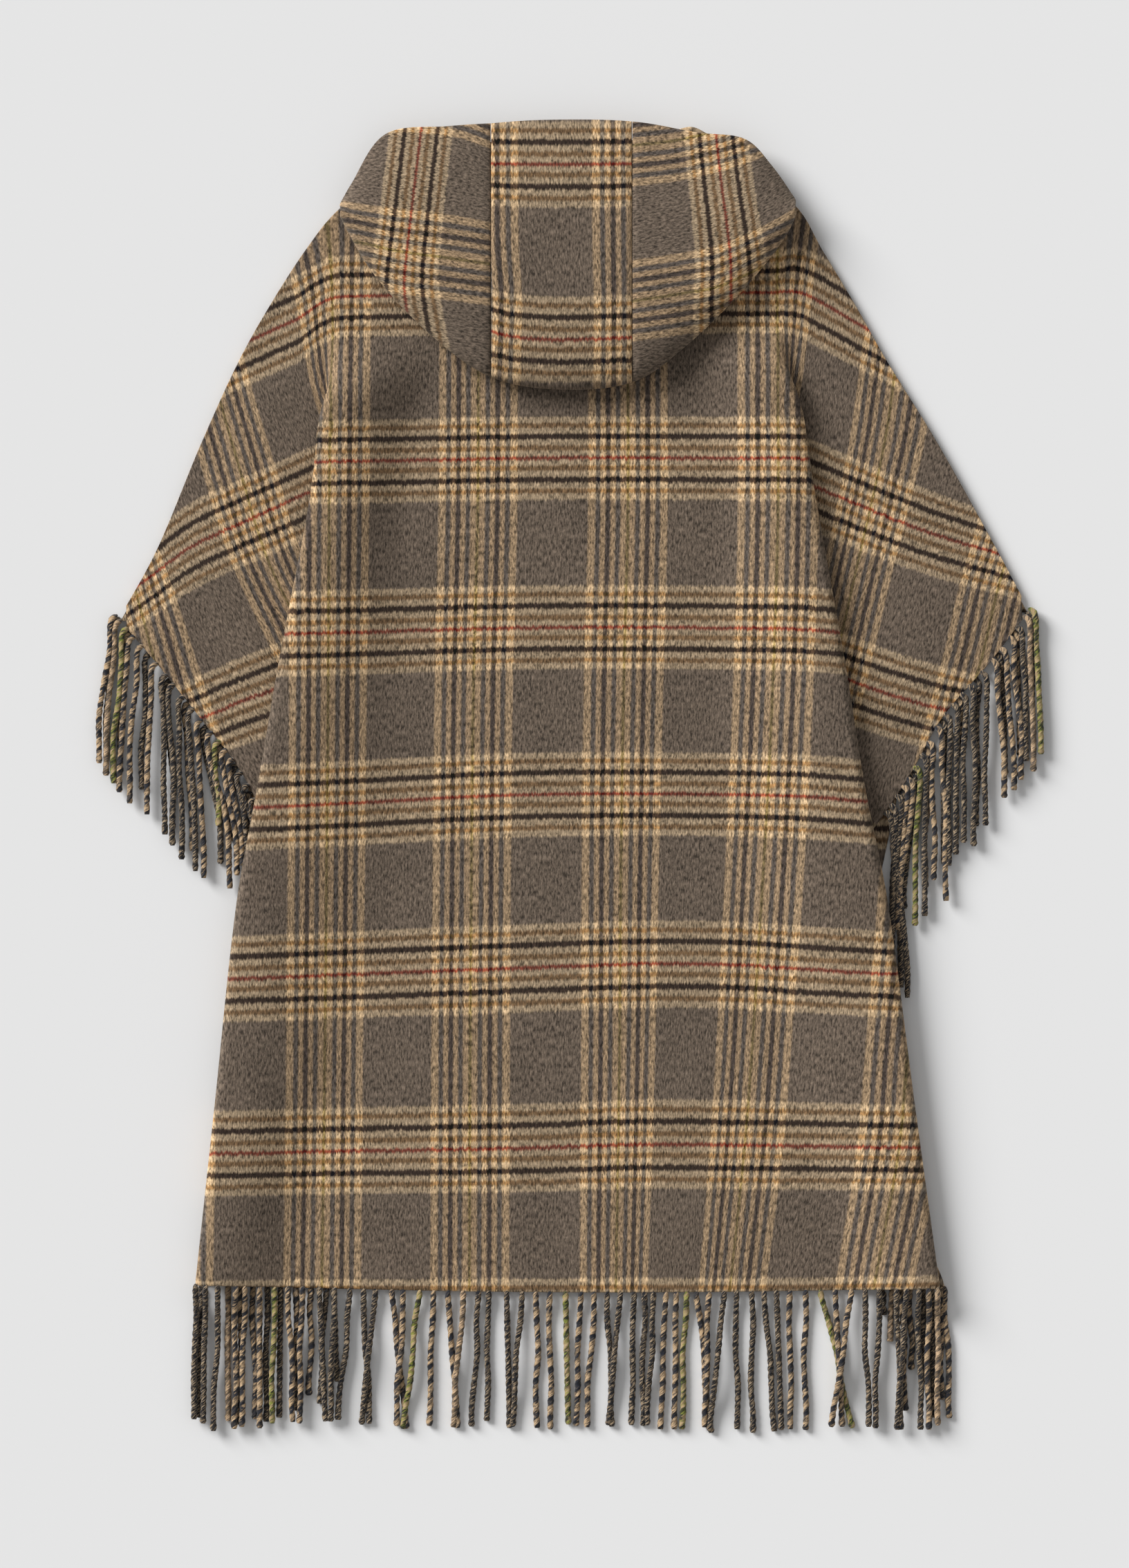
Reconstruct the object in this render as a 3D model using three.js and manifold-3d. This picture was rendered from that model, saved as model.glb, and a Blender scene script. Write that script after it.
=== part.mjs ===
// A hooded open-front cape of brushed wool plaid, laid flat, back side up, with its hood spread on the back.
// Millimetres, +Z up. The cape lies on the plane z = 0 with its hem toward -Y and its hood toward +Y.
import * as THREE from 'three';
import { mergeVertices } from 'three/addons/utils/BufferGeometryUtils.js';
import Module from 'manifold-3d';

const wasm = await Module();
wasm.setup();

// Cloth and seams
const CLOTH = 3;                 // thickness of the double-face wool
const SEAM_GAP = 0.4;            // space between two pieces that meet
const HOOD_SEAM_GAP = 0.9;
const EDGE_Z = CLOTH * 1.5 + 0.9;  // middle of the back's free edges, which lie on the fronts
const SAG_Z = 5.4;               // middle of the back where it sags between its side folds

// Along the side pleats at each y: height of the middle of the wing layer, and the radii of the hidden
// inner fold and of the outer fold
const PLEAT_SECTIONS = [
  { y: 560, wing: 6.0, inner: 2.4, outer: 3.0 },
  { y: 375, wing: 8.0, inner: 2.4, outer: 3.6 },
  { y: 270, wing: 8.6, inner: 2.4, outer: 5.8 },
  { y: -90, wing: 6.6, inner: 2.4, outer: 6.4 },
  { y: -290, wing: 3.2, inner: 2.4, outer: 6.0 },
  { y: -460, wing: 0.9, inner: 2.4, outer: 4.8 },
];

// Each side of the back: over-arm edge, fringed wing edge, and the side fold that runs from the shoulder
// to the hem
const LEFT = {
  sign: -1,
  overArm: [
    { x: -136.8, y: 543.9 },
    { x: -202.8, y: 491.1 },
    { x: -230.4, y: 456.9 },
    { x: -261.6, y: 408.9 },
    { x: -288.6, y: 360.9 },
    { x: -321.6, y: 288.9 },
    { x: -361.8, y: 192.9 },
    { x: -393.6, y: 135.3 },
  ],
  wingEdge: [
    { x: -393.6, y: 135.3 },
    { x: -366.0, y: 103.5 },
    { x: -322.2, y: 48.9 },
    { x: -285.0, y: -0.9 },
    { x: -240.0, y: -101.1 },
  ],
  fold: [
    { x: -219.6, y: 372.9 },
    { x: -224.4, y: 263.7 },
    { x: -253.8, y: 101.7 },
    { x: -272.4, y: -6.3 },
    { x: -291.0, y: -110 },
    { x: -310.2, y: -287.1 },
    { x: -327.0, y: -441.9 },
  ],
  backStripGap: 0.8,
  frontStripGap: -0.9,
  frontHemEnd: -198,
  frontNeck: -96,
};
const RIGHT = {
  sign: 1,
  overArm: [
    { x: 123.0, y: 543.9 },
    { x: 195.0, y: 492.9 },
    { x: 216.6, y: 456.9 },
    { x: 244.8, y: 408.9 },
    { x: 271.8, y: 360.9 },
    { x: 316.2, y: 288.9 },
    { x: 369.6, y: 192.9 },
    { x: 396.0, y: 143.1 },
  ],
  wingEdge: [
    { x: 396.0, y: 143.1 },
    { x: 363.6, y: 99.9 },
    { x: 320.4, y: 49.5 },
    { x: 290.0, y: -4.0 },
    { x: 223.0, y: -101.1 },
  ],
  fold: [
    { x: 195.0, y: 384.9 },
    { x: 204.0, y: 284.1 },
    { x: 237.0, y: 92.7 },
    { x: 253.2, y: -8.7 },
    { x: 273.0, y: -108.9 },
    { x: 296.4, y: -283.5 },
    { x: 318.6, y: -444.9 },
  ],
  backStripGap: 1.7,
  frontStripGap: -0.9,
  frontHemEnd: 258,
  frontNeck: 84,
};

// Neck line of the back under the hood, and the hem
const NECK_Y = 522;
const NECK_DIP = 10;
const HEM_LEFT_Y = -441.9;
const HEM_RIGHT_Y = -444.9;
const HEM_DROP = 5;              // the middle of the hem hangs this much lower than its corners

// The side pleat
const PLEAT_RISE = 18;           // the pleat begins this far above the shoulder point
const PLEAT_GROWTH = 105;        // and opens fully over this length
const HEAD_RISE = 110;           // the over-arm edge lies about this far above the shoulder point
const SHOULDER_LEAN = 0.04;      // sideways run of the shoulder's line for each millimetre up it
const ROW_BLEND = 50;            // lines whose head is this far above the pleat's start share all its rows
const PLEAT_LEAD = 2.5;          // straight step into and out of the pleat's folds
const OUTER_TURN = 6;            // steps round the outer fold
const INNER_TURN = 4;            // steps round the inner fold
const HIDDEN_STEPS = 3;          // steps between the two folds
const HIDDEN_LEAST = 4;          // least width of cloth between the two folds
const WING_LINES = 8;
const WING_TIP_SHARE = 0.035;    // place of the first wing line, as a share of both edges from the tip
const CENTRE_LINES = 14;
const SHOULDER_ROWS = 4;         // rows above the place where the pleats begin
const GROWTH_ROWS = 7;           // rows where the pleats open
const BODY_ROWS = 9;             // rows from there to the hem
const FOLD_SHOULDER = 8;         // width of the level top of a side fold
const SLOPE_REACH = 66;          // least distance over which a side fold falls to the middle of the back
const SLOPE_OVER_PLEAT = 1.3;    // and how much further for each millimetre of cloth folded under it
const WING_REACH = 55;           // how far a wing's edge runs in before it is at full height

// Hood
const HOOD_TOP = [
  { x: -202.2, y: 490.5 },
  { x: -190.2, y: 512.5 },
  { x: -162.0, y: 555.0 },
  { x: -108.0, y: 562.0 },
  { x: -70.0, y: 564.6 },
  { x: -28.8, y: 567.3 },
  { x: 52.8, y: 566.0 },
  { x: 108.0, y: 556.5 },
  { x: 150.0, y: 550.5 },
  { x: 171.6, y: 528.3 },
  { x: 194.4, y: 494.5 },
];
const HOOD_LOW = [
  { x: -202.2, y: 488.0 },
  { x: -173.4, y: 438.3 },
  { x: -122.4, y: 383.0 },
  { x: -70.0, y: 346.2 },
  { x: -15.0, y: 335.7 },
  { x: 52.8, y: 342.3 },
  { x: 96.0, y: 371.7 },
  { x: 151.2, y: 426.3 },
  { x: 184.8, y: 470.0 },
  { x: 194.4, y: 491.0 },
];
const STRIP_LEFT_X = -70.4;      // seams of the centre strip
const STRIP_RIGHT_X = 51.4;
const HOOD_ROWS = 9;
const HOOD_ROLL_ROWS = 4;
const HOOD_FACE_Z = 21;          // height of the face edge
const HOOD_CREST_Z = 37;         // highest line of the hood, above its lower roll
const HOOD_EDGE_Z = 20;          // where the lower roll reaches furthest out
const HOOD_UNDER_Z = 10.0;       // where the roll ends under the hood
const HOOD_CREST = 0.72;         // place of the crest between face edge and lower edge
const HOOD_TUCK = 12;            // how far the roll turns back in
const HOOD_CORNER_Y = 500;
const HOOD_BASE_RISE = 6;        // the hood's cloth starts this far above the middle of the wing
const HOOD_CORNER_LIFT = 0.42;   // share of the hood's height that stands at its corners
const HOOD_CORNER_DROP = 0.72;   // how strongly the height is lost toward the corners
const HOOD_ROUND = 0.9;          // roundness of the hood's rise and of its roll
const HOOD_END_SHARE = 0.03;     // first and last line of the hood, as a share of its edges
const NAPE_SETBACK = 16;         // the hidden layers end this far inside the face edge
const NAPE_FLOOR_Z = 8.6;
const NAPE_END_SHARE = 0.09;     // first and last line of the hidden layers
const NAPE_LINES = 13;
const NAPE_ROWS = 8;
const NAPE_CLEARANCE = 0.5;      // space between the hidden layers and the outer cloth
const NAPE_RIM = 1.6;            // thickness of the hidden layers at their rim
const NAPE_ROUND = 0.35;         // how full they are just inside the rim

// Fronts
const FRONT_INSET = 1.5;         // the fronts' outline keeps about this far inside the back's
const FRONT_WING_SHARE = 0.62;   // share of the wing edge that the front's cloth reaches
const FRONT_NECK_LOW = 402;      // y at which the front's hidden edge leaves the neck
const FRONT_NECK_TOP = 530;

// Fringe
const STRIP_DEPTH = 3.4;         // narrow backing strip that the strands grow from
const STRAND_RADIUS = 3.0;
const THIN_STRAND_RADIUS = 2.0;
const STRAND_LENGTH = 116;
const STRAND_STEPS = 4;
const STRAND_ROOT = 0.55;        // a strand's root lies this share of the strip's depth out of its edge
const STRAND_PITCH = 12.4;       // along the hem of the back
const FLOOR_GAP = 0.6;
const FRONT_STRAND_ROOT_Z = CLOTH / 2;

const WOOL = { color: 0x70614f, roughness: 0.95, metalness: 0 };
const YARN = { color: 0x57503f, roughness: 0.95, metalness: 0 };

const BACK_ROWS = SHOULDER_ROWS + GROWTH_ROWS + BODY_ROWS + 1;

const clamp01 = (value) => Math.min(1, Math.max(0, value));
const smooth = (value) => {
  const t = clamp01(value);
  return t * t * (3 - 2 * t);
};
const mix = (a, b, t) => a + (b - a) * t;

// Value of one column of a table at a place in another column, with smooth bends between the rows.
function track(rows, from, to) {
  const sorted = [...rows].sort((a, b) => a[from] - b[from]);
  const slope = sorted.map((row, i) => {
    const before = sorted[Math.max(0, i - 1)];
    const after = sorted[Math.min(sorted.length - 1, i + 1)];
    return (after[to] - before[to]) / (after[from] - before[from]);
  });
  return (at) => {
    let i = 0;
    while (i < sorted.length - 2 && at > sorted[i + 1][from]) i += 1;
    const span = sorted[i + 1][from] - sorted[i][from];
    const t = (at - sorted[i][from]) / span;
    if (t < 0) return sorted[i][to] + slope[i] * t * span;
    if (t > 1) return sorted[i + 1][to] + slope[i + 1] * (t - 1) * span;
    const t2 = t * t;
    const t3 = t2 * t;
    const start = sorted[i][to] * (2 * t3 - 3 * t2 + 1) + slope[i] * span * (t3 - 2 * t2 + t);
    return start + sorted[i + 1][to] * (3 * t2 - 2 * t3) + slope[i + 1] * span * (t3 - t2);
  };
}

// Smooth open curve through the rows of a table, read by its share of length.
function curveThrough(rows) {
  const points = rows.map((row) => new THREE.Vector3(row.x, row.y, 0));
  return new THREE.CatmullRomCurve3(points, false, 'centripetal');
}

const wingHeight = track(PLEAT_SECTIONS, 'y', 'wing');
const innerRadius = track(PLEAT_SECTIONS, 'y', 'inner');
const outerRadius = track(PLEAT_SECTIONS, 'y', 'outer');

// The working curves of one side of the back.
function sideOf(table) {
  const fold = track(table.fold, 'y', 'x');
  const shoulder = table.fold[0];
  const seamTop = table.wingEdge[table.wingEdge.length - 1];
  const innerFold = track([shoulder, seamTop], 'y', 'x');
  const overArmX = track(table.overArm, 'y', 'x');
  const wingEdgeX = track(table.wingEdge, 'y', 'x');
  const outline = (y) => (y > table.wingEdge[0].y ? overArmX(y) : wingEdgeX(y));
  return { ...table, foldX: fold, innerFold, outline, shoulder, seamTop };
}

const left = sideOf(LEFT);
const right = sideOf(RIGHT);

function hemY(x) {
  const share = (x - left.fold.at(-1).x) / (right.fold.at(-1).x - left.fold.at(-1).x);
  return mix(HEM_LEFT_Y, HEM_RIGHT_Y, clamp01(share)) - HEM_DROP * Math.sin(Math.PI * clamp01(share));
}

// Height of the middle of the wing layer.
function wingZ(side, x, y) {
  const inside = side.sign * (side.outline(y) - x);
  return mix(EDGE_Z, wingHeight(y), smooth(inside / WING_REACH));
}

// How far the pleat is open at y, from 0 above the shoulder point to 1.
function pleatShare(side, y) {
  return smooth((side.shoulder.y + PLEAT_RISE - y) / PLEAT_GROWTH);
}

// Width of the cloth that is folded under a side fold at y.
function hiddenWidth(side, y) {
  const seam = side.seamTop;
  const foot = side.fold.at(-1);
  const level = Math.max(y, seam.y);
  const width = side.sign * (side.foldX(level) - side.innerFold(level));
  const share = y > seam.y ? 1 : clamp01((y - foot.y) / (seam.y - foot.y));
  return Math.max(HIDDEN_LEAST, width * share);
}

// Line of the shoulder that the pleat grows from.
function shoulderX(side, y) {
  return side.shoulder.x - side.sign * (y - side.shoulder.y) * SHOULDER_LEAN;
}

// Steps across the pleat, from the wing to the top layer: each one's length at y, its turn as a share of
// half a turn, and how far its line's foot lies from the end of the wing edge to the corner of the hem.
const PLEAT_STEPS = [
  { length: () => PLEAT_LEAD, turn: 0, foot: 0 },
  ...Array.from({ length: INNER_TURN }, (_, i) => ({
    length: (side, y) => (Math.PI * innerRadius(y)) / INNER_TURN,
    turn: (i + 0.5) / INNER_TURN,
    foot: 0,
  })),
  ...Array.from({ length: HIDDEN_STEPS }, (_, i) => ({
    length: (side, y) => hiddenWidth(side, y) / HIDDEN_STEPS,
    turn: 1,
    foot: (i + 1) / HIDDEN_STEPS,
  })),
  ...Array.from({ length: OUTER_TURN }, (_, i) => ({
    length: (side, y) => (Math.PI * outerRadius(y)) / OUTER_TURN,
    turn: 1 - (i + 0.5) / OUTER_TURN,
    foot: 1,
  })),
  { length: () => PLEAT_LEAD, turn: 0, foot: 1 },
];

// Where the pleat starts at y, on the last line of the wing.
function pleatStartX(side, y) {
  const folded = side.foldX(y) - side.sign * (hiddenWidth(side, y) + outerRadius(y) - PLEAT_LEAD);
  return mix(shoulderX(side, y), folded, pleatShare(side, y));
}

// The point of the pleat at y after some of its steps, in the middle of the cloth.
function pleatPoint(side, y, count) {
  const open = pleatShare(side, y);
  const startX = pleatStartX(side, y);
  const point = new THREE.Vector3(startX, y, wingZ(side, startX, y));
  PLEAT_STEPS.slice(0, count).forEach((step) => {
    const angle = Math.PI * open * step.turn;
    point.x -= side.sign * step.length(side, y) * Math.cos(angle);
    point.z += step.length(side, y) * Math.sin(angle);
  });
  return point;
}

// Height of the middle of the back as one side fold lets it fall toward the middle.
function fallFrom(side, x, y) {
  const top = pleatPoint(side, y, PLEAT_STEPS.length);
  const inside = side.sign * (top.x - x) - FOLD_SHOULDER;
  const reach = SLOPE_REACH + SLOPE_OVER_PLEAT * hiddenWidth(side, y);
  return mix(top.z, SAG_Z, smooth(inside / reach));
}

// Height of the middle of the back between its side folds.
function backZ(x, y) {
  return Math.max(fallFrom(left, x, y), fallFrom(right, x, y));
}

// Top of the wing's last line and of the pleat lines, on the over-arm edge.
function topEdgeY(side, x) {
  const edgeY = track(side.overArm, 'x', 'y');
  return edgeY(x);
}

// Row j of a line that runs from headY to footY. Lines that cross the shoulder share their rows where the
// pleat opens.
function rowY(side, headY, footY, j) {
  const even = mix(headY, footY, j / (BACK_ROWS - 1));
  const begin = side.shoulder.y + PLEAT_RISE;
  const end = begin - PLEAT_GROWTH;
  const growth = j - SHOULDER_ROWS;
  let shared = mix(headY, begin, j / SHOULDER_ROWS);
  if (growth > 0) shared = mix(begin, end, growth / GROWTH_ROWS);
  if (growth > GROWTH_ROWS) shared = mix(end, footY, (growth - GROWTH_ROWS) / BODY_ROWS);
  return mix(even, shared, smooth((headY - begin) / ROW_BLEND));
}

// The lines of one wing, from its tip to the pleat, each a list of points from top to bottom.
function wingLines(side) {
  const over = curveThrough([...side.overArm].reverse());
  const edge = curveThrough(side.wingEdge);
  const stopY = topEdgeY(side, shoulderX(side, side.shoulder.y + HEAD_RISE));
  let stop = 1;
  while (over.getPointAt(stop).y > stopY) stop -= 0.002;
  const lines = [];
  for (let i = 0; i < WING_LINES; i += 1) {
    const share = mix(WING_TIP_SHARE, 1, i / (WING_LINES - 1));
    const head = over.getPointAt(stop * share);
    const foot = edge.getPointAt(share);
    const line = [];
    for (let j = 0; j < BACK_ROWS; j += 1) {
      const y = rowY(side, head.y, foot.y, j);
      const straight = mix(head.x, foot.x, (head.y - y) / (head.y - foot.y));
      const x = i === WING_LINES - 1 ? pleatStartX(side, y) : straight;
      line.push(new THREE.Vector3(x, y, wingZ(side, x, y)));
    }
    lines.push(line);
  }
  return lines;
}

// The lines of one side's pleat, from the wing to the top layer.
function pleatLines(side) {
  return PLEAT_STEPS.map((step, i) => {
    const headX = pleatPoint(side, side.shoulder.y + HEAD_RISE, i + 1).x;
    const headY = topEdgeY(side, headX);
    const footY = mix(side.seamTop.y, side.fold.at(-1).y, step.foot);
    const line = [];
    for (let j = 0; j < BACK_ROWS; j += 1) {
      line.push(pleatPoint(side, rowY(side, headY, footY, j), i + 1));
    }
    return line;
  });
}

// Upper end of a line of the middle of the back, on the over-arm edges and the neck line.
function backTopY(x) {
  if (x < left.overArm[0].x) return topEdgeY(left, x);
  if (x > right.overArm[0].x) return topEdgeY(right, x);
  const share = (x - left.overArm[0].x) / (right.overArm[0].x - left.overArm[0].x);
  const corner = mix(left.overArm[0].y, right.overArm[0].y, share);
  return mix(corner, NECK_Y - NECK_DIP * Math.sin(Math.PI * share), smooth(Math.sin(Math.PI * share) * 1.6));
}

// The lines of the middle of the back, between the top layers of the two pleats.
function centreLines() {
  const lines = [];
  const edgeX = (side, y) => pleatPoint(side, y, PLEAT_STEPS.length).x;
  for (let i = 1; i < CENTRE_LINES; i += 1) {
    const share = i / CENTRE_LINES;
    const side = share < 0.5 ? left : right;
    const xAt = (y) => mix(edgeX(left, y), edgeX(right, y), share);
    const headY = backTopY(xAt(side.shoulder.y + HEAD_RISE));
    const footY = hemY(mix(left.fold.at(-1).x, right.fold.at(-1).x, share));
    const line = [];
    for (let j = 0; j < BACK_ROWS; j += 1) {
      const y = rowY(side, headY, footY, j);
      const x = xAt(y);
      line.push(new THREE.Vector3(x, y, backZ(x, y)));
    }
    lines.push(line);
  }
  return lines;
}

// A closed wall on a grid of middle points: lines run from head to foot, and neighbours lie side by side.
function wall(lines, thickness) {
  const columns = lines.length;
  const rows = lines[0].length;
  const normalAt = (i, j) => {
    const before = lines[Math.max(0, i - 1)][j];
    const after = lines[Math.min(columns - 1, i + 1)][j];
    const above = lines[i][Math.max(0, j - 1)];
    const below = lines[i][Math.min(rows - 1, j + 1)];
    const across = new THREE.Vector3().subVectors(after, before);
    const down = new THREE.Vector3().subVectors(above, below);
    return across.cross(down).normalize();
  };
  const positions = [];
  for (const face of [0.5, -0.5]) {
    for (let i = 0; i < columns; i += 1) {
      for (let j = 0; j < rows; j += 1) {
        const point = lines[i][j].clone().addScaledVector(normalAt(i, j), face * thickness);
        positions.push(point.x, point.y, point.z);
      }
    }
  }
  const back = columns * rows;
  const at = (i, j) => i * rows + j;
  const index = [];
  const quad = (a, b, c, d) => index.push(a, b, c, a, c, d);
  for (let i = 0; i < columns - 1; i += 1) {
    for (let j = 0; j < rows - 1; j += 1) {
      quad(at(i, j), at(i, j + 1), at(i + 1, j + 1), at(i + 1, j));
      quad(back + at(i, j), back + at(i + 1, j), back + at(i + 1, j + 1), back + at(i, j + 1));
    }
  }
  for (let j = 0; j < rows - 1; j += 1) {
    quad(at(0, j), back + at(0, j), back + at(0, j + 1), at(0, j + 1));
    const last = columns - 1;
    quad(at(last, j), at(last, j + 1), back + at(last, j + 1), back + at(last, j));
  }
  for (let i = 0; i < columns - 1; i += 1) {
    quad(at(i, 0), at(i + 1, 0), back + at(i + 1, 0), back + at(i, 0));
    const foot = rows - 1;
    quad(at(i, foot), back + at(i, foot), back + at(i + 1, foot), at(i + 1, foot));
  }
  return facingOut(positions, index);
}

// A geometry whose faces point out of the closed body that they make.
function facingOut(positions, index) {
  const corner = (k) => new THREE.Vector3().fromArray(positions, index[k] * 3);
  let volume = 0;
  for (let k = 0; k < index.length; k += 3) {
    volume += corner(k).dot(corner(k + 1).cross(corner(k + 2)));
  }
  const geometry = new THREE.BufferGeometry();
  geometry.setAttribute('position', new THREE.Float32BufferAttribute(positions, 3));
  geometry.setIndex(volume < 0 ? [...index].reverse() : index);
  return geometry;
}

function backPanel() {
  const lines = [
    ...wingLines(left),
    ...pleatLines(left),
    ...centreLines(),
    ...pleatLines(right).reverse(),
    ...wingLines(right).reverse(),
  ];
  return wall(lines, CLOTH);
}

// A front lies flat on the surface under the back. Its outline keeps just inside the back's.
function frontPanel(side) {
  const inset = FRONT_INSET;
  const s = side.sign;
  const shape = new THREE.Shape();
  const over = curveThrough(side.overArm).getSpacedPoints(14);
  const edge = curveThrough(side.wingEdge);
  const outline = [
    ...over.map((p) => ({ x: p.x - s * inset, y: p.y - inset })),
  ];
  for (let i = 1; i <= 6; i += 1) {
    const p = edge.getPointAt((FRONT_WING_SHARE * i) / 6);
    outline.push({ x: p.x - s * inset * 2, y: p.y + inset * 2 });
  }
  const seamY = side.seamTop.y;
  const seamX = side.foldX(seamY) - s * inset * 4;
  outline.push({ x: seamX, y: seamY });
  for (let i = 1; i <= 3; i += 1) {
    const y = mix(seamY, side.fold.at(-1).y, i / 4);
    outline.push({ x: side.foldX(y) - s * inset * 2, y });
  }
  for (let i = 0; i <= 3; i += 1) {
    const x = mix(side.fold.at(-1).x - s * inset * 2, side.frontHemEnd, i / 3);
    outline.push({ x, y: hemY(x) });
  }
  outline.push({ x: side.frontNeck, y: FRONT_NECK_LOW });
  outline.push({ x: side.frontNeck, y: FRONT_NECK_TOP });
  outline.forEach((p, i) => (i === 0 ? shape.moveTo(p.x, p.y) : shape.lineTo(p.x, p.y)));
  shape.closePath();
  return new THREE.ExtrudeGeometry(shape, { depth: CLOTH, bevelEnabled: false, curveSegments: 1 });
}

const hoodTopAt = curveThrough(HOOD_TOP);
const hoodLowAt = curveThrough(HOOD_LOW);

// Share of a hood curve's length at which it reaches x.
function shareAtX(curve, x) {
  let low = 0;
  let high = 1;
  for (let i = 0; i < 40; i += 1) {
    const middle = (low + high) / 2;
    if (curve.getPointAt(middle).x < x) low = middle;
    else high = middle;
  }
  return (low + high) / 2;
}

// How much of the hood's full height stands at x: less toward its two corners.
function hoodFullness(x) {
  const half = (HOOD_LOW.at(-1).x - HOOD_LOW[0].x) / 2;
  const middle = (HOOD_LOW.at(-1).x + HOOD_LOW[0].x) / 2;
  const out = Math.abs(x - middle) / half;
  return Math.sqrt(Math.max(0, 1 - HOOD_CORNER_DROP * out ** 4));
}

// One line of the hood from its face edge to the roll at its lower edge, in the middle of the cloth.
function hoodLine(head, foot) {
  const along = new THREE.Vector3().subVectors(foot, head);
  const full = hoodFullness((head.x + foot.x) / 2);
  const base = wingHeight(HOOD_CORNER_Y) + HOOD_BASE_RISE;
  const lift = (z) => mix(base + (z - base) * HOOD_CORNER_LIFT, z, full);
  const length = along.length();
  const direction = along.clone().normalize();
  const tuck = Math.min(HOOD_TUCK, length * 0.3);
  const line = [];
  for (let j = 0; j < HOOD_ROWS; j += 1) {
    const t = j / (HOOD_ROWS - 1);
    const point = head.clone().addScaledVector(along, HOOD_CREST * t);
    const rise = Math.sin((Math.PI / 2) * t) ** HOOD_ROUND;
    line.push(point.setZ(mix(lift(HOOD_FACE_Z), lift(HOOD_CREST_Z), rise)));
  }
  for (let j = 1; j <= HOOD_ROLL_ROWS; j += 1) {
    const turn = (Math.PI / 2) * (j / HOOD_ROLL_ROWS);
    const reach = mix(HOOD_CREST, 1, Math.sin(turn));
    const point = head.clone().addScaledVector(along, reach);
    const drop = Math.cos(turn) ** HOOD_ROUND;
    line.push(point.setZ(mix(lift(HOOD_EDGE_Z), lift(HOOD_CREST_Z), drop)));
  }
  for (let j = 1; j <= 3; j += 1) {
    const turn = (Math.PI / 2) * (j / 3);
    const point = foot.clone().addScaledVector(direction, -tuck * (1 - Math.cos(turn)));
    line.push(point.setZ(mix(lift(HOOD_EDGE_Z), lift(HOOD_UNDER_Z), Math.sin(turn))));
  }
  return line;
}

// A piece of the hood between two places given by the x of its seams.
function hoodPiece(fromX, toX, count) {
  const ends = [fromX, toX].map((x) => ({
    top: x === null ? null : shareAtX(hoodTopAt, x),
    low: x === null ? null : shareAtX(hoodLowAt, x),
  }));
  const corner = (share) => ({ top: share, low: share });
  const first = ends[0].top === null ? corner(HOOD_END_SHARE) : ends[0];
  const last = ends[1].top === null ? corner(1 - HOOD_END_SHARE) : ends[1];
  const lines = [];
  for (let i = 0; i < count; i += 1) {
    const t = i / (count - 1);
    const head = hoodTopAt.getPointAt(mix(first.top, last.top, t));
    const foot = hoodLowAt.getPointAt(mix(first.low, last.low, t));
    lines.push(hoodLine(head, foot));
  }
  return wall(lines, CLOTH);
}

// The hood's hidden layers, from the neck seam to the roll, share one rounded solid under the outer cloth.
function hoodNape() {
  const lines = [];
  for (let i = 0; i < NAPE_LINES; i += 1) {
    const across = i / (NAPE_LINES - 1);
    const t = mix(NAPE_END_SHARE, 1 - NAPE_END_SHARE, across);
    const head = hoodTopAt.getPointAt(t);
    const foot = hoodLowAt.getPointAt(t);
    const along = new THREE.Vector3().subVectors(foot, head);
    const length = along.length();
    const shell = hoodLine(head, foot);
    const start = Math.min(0.4, NAPE_SETBACK / length);
    const end = 1 - Math.min(0.35, (HOOD_TUCK + CLOTH + 3) / length);
    const line = [];
    for (let j = 0; j < NAPE_ROWS; j += 1) {
      const downward = j / (NAPE_ROWS - 1);
      const share = mix(start, end, downward);
      const place = share / HOOD_CREST;
      const row = Math.min(HOOD_ROWS - 1, place * (HOOD_ROWS - 1));
      const low = Math.floor(row);
      const high = Math.min(HOOD_ROWS - 1, low + 1);
      const z = mix(shell[low].z, shell[high].z, row - low);
      const point = head.clone().addScaledVector(along, share);
      const endEase = Math.sin(Math.PI * mix(0.12, 0.88, downward)) ** NAPE_ROUND;
      const sideEase = Math.sin(Math.PI * mix(0.1, 0.9, across)) ** NAPE_ROUND;
      const roof = z - CLOTH / 2 - NAPE_CLEARANCE;
      line.push({ x: point.x, y: point.y, roof: mix(NAPE_FLOOR_Z + NAPE_RIM, roof, endEase * sideEase) });
    }
    lines.push(line);
  }
  return slab(lines, NAPE_FLOOR_Z);
}

// A closed solid between a flat floor and a roof over a grid of places.
function slab(lines, floor) {
  const middle = lines.map((line) => line.map((p) => new THREE.Vector3(p.x, p.y, (p.roof + floor) / 2)));
  const geometry = wall(middle, 1);
  const position = geometry.getAttribute('position');
  const rows = lines[0].length;
  const count = lines.length * rows;
  for (let k = 0; k < position.count; k += 1) {
    const top = k < count;
    const place = lines[Math.floor((k % count) / rows)][(k % count) % rows];
    position.setXYZ(k, place.x, place.y, top ? place.roof : floor);
  }
  return geometry;
}

function toSolid(geometry) {
  geometry.deleteAttribute('normal');
  geometry.deleteAttribute('uv');
  const merged = mergeVertices(geometry, 1e-4);
  return new wasm.Manifold(new wasm.Mesh({
    numProp: 3,
    vertProperties: new Float32Array(merged.getAttribute('position').array),
    triVerts: new Uint32Array(merged.getIndex().array),
  }));
}

function fromSolid(solid) {
  const mesh = solid.getMesh();
  const geometry = new THREE.BufferGeometry();
  geometry.setAttribute('position', new THREE.Float32BufferAttribute(mesh.vertProperties, 3));
  geometry.setIndex(Array.from(mesh.triVerts));
  return geometry;
}

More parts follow.
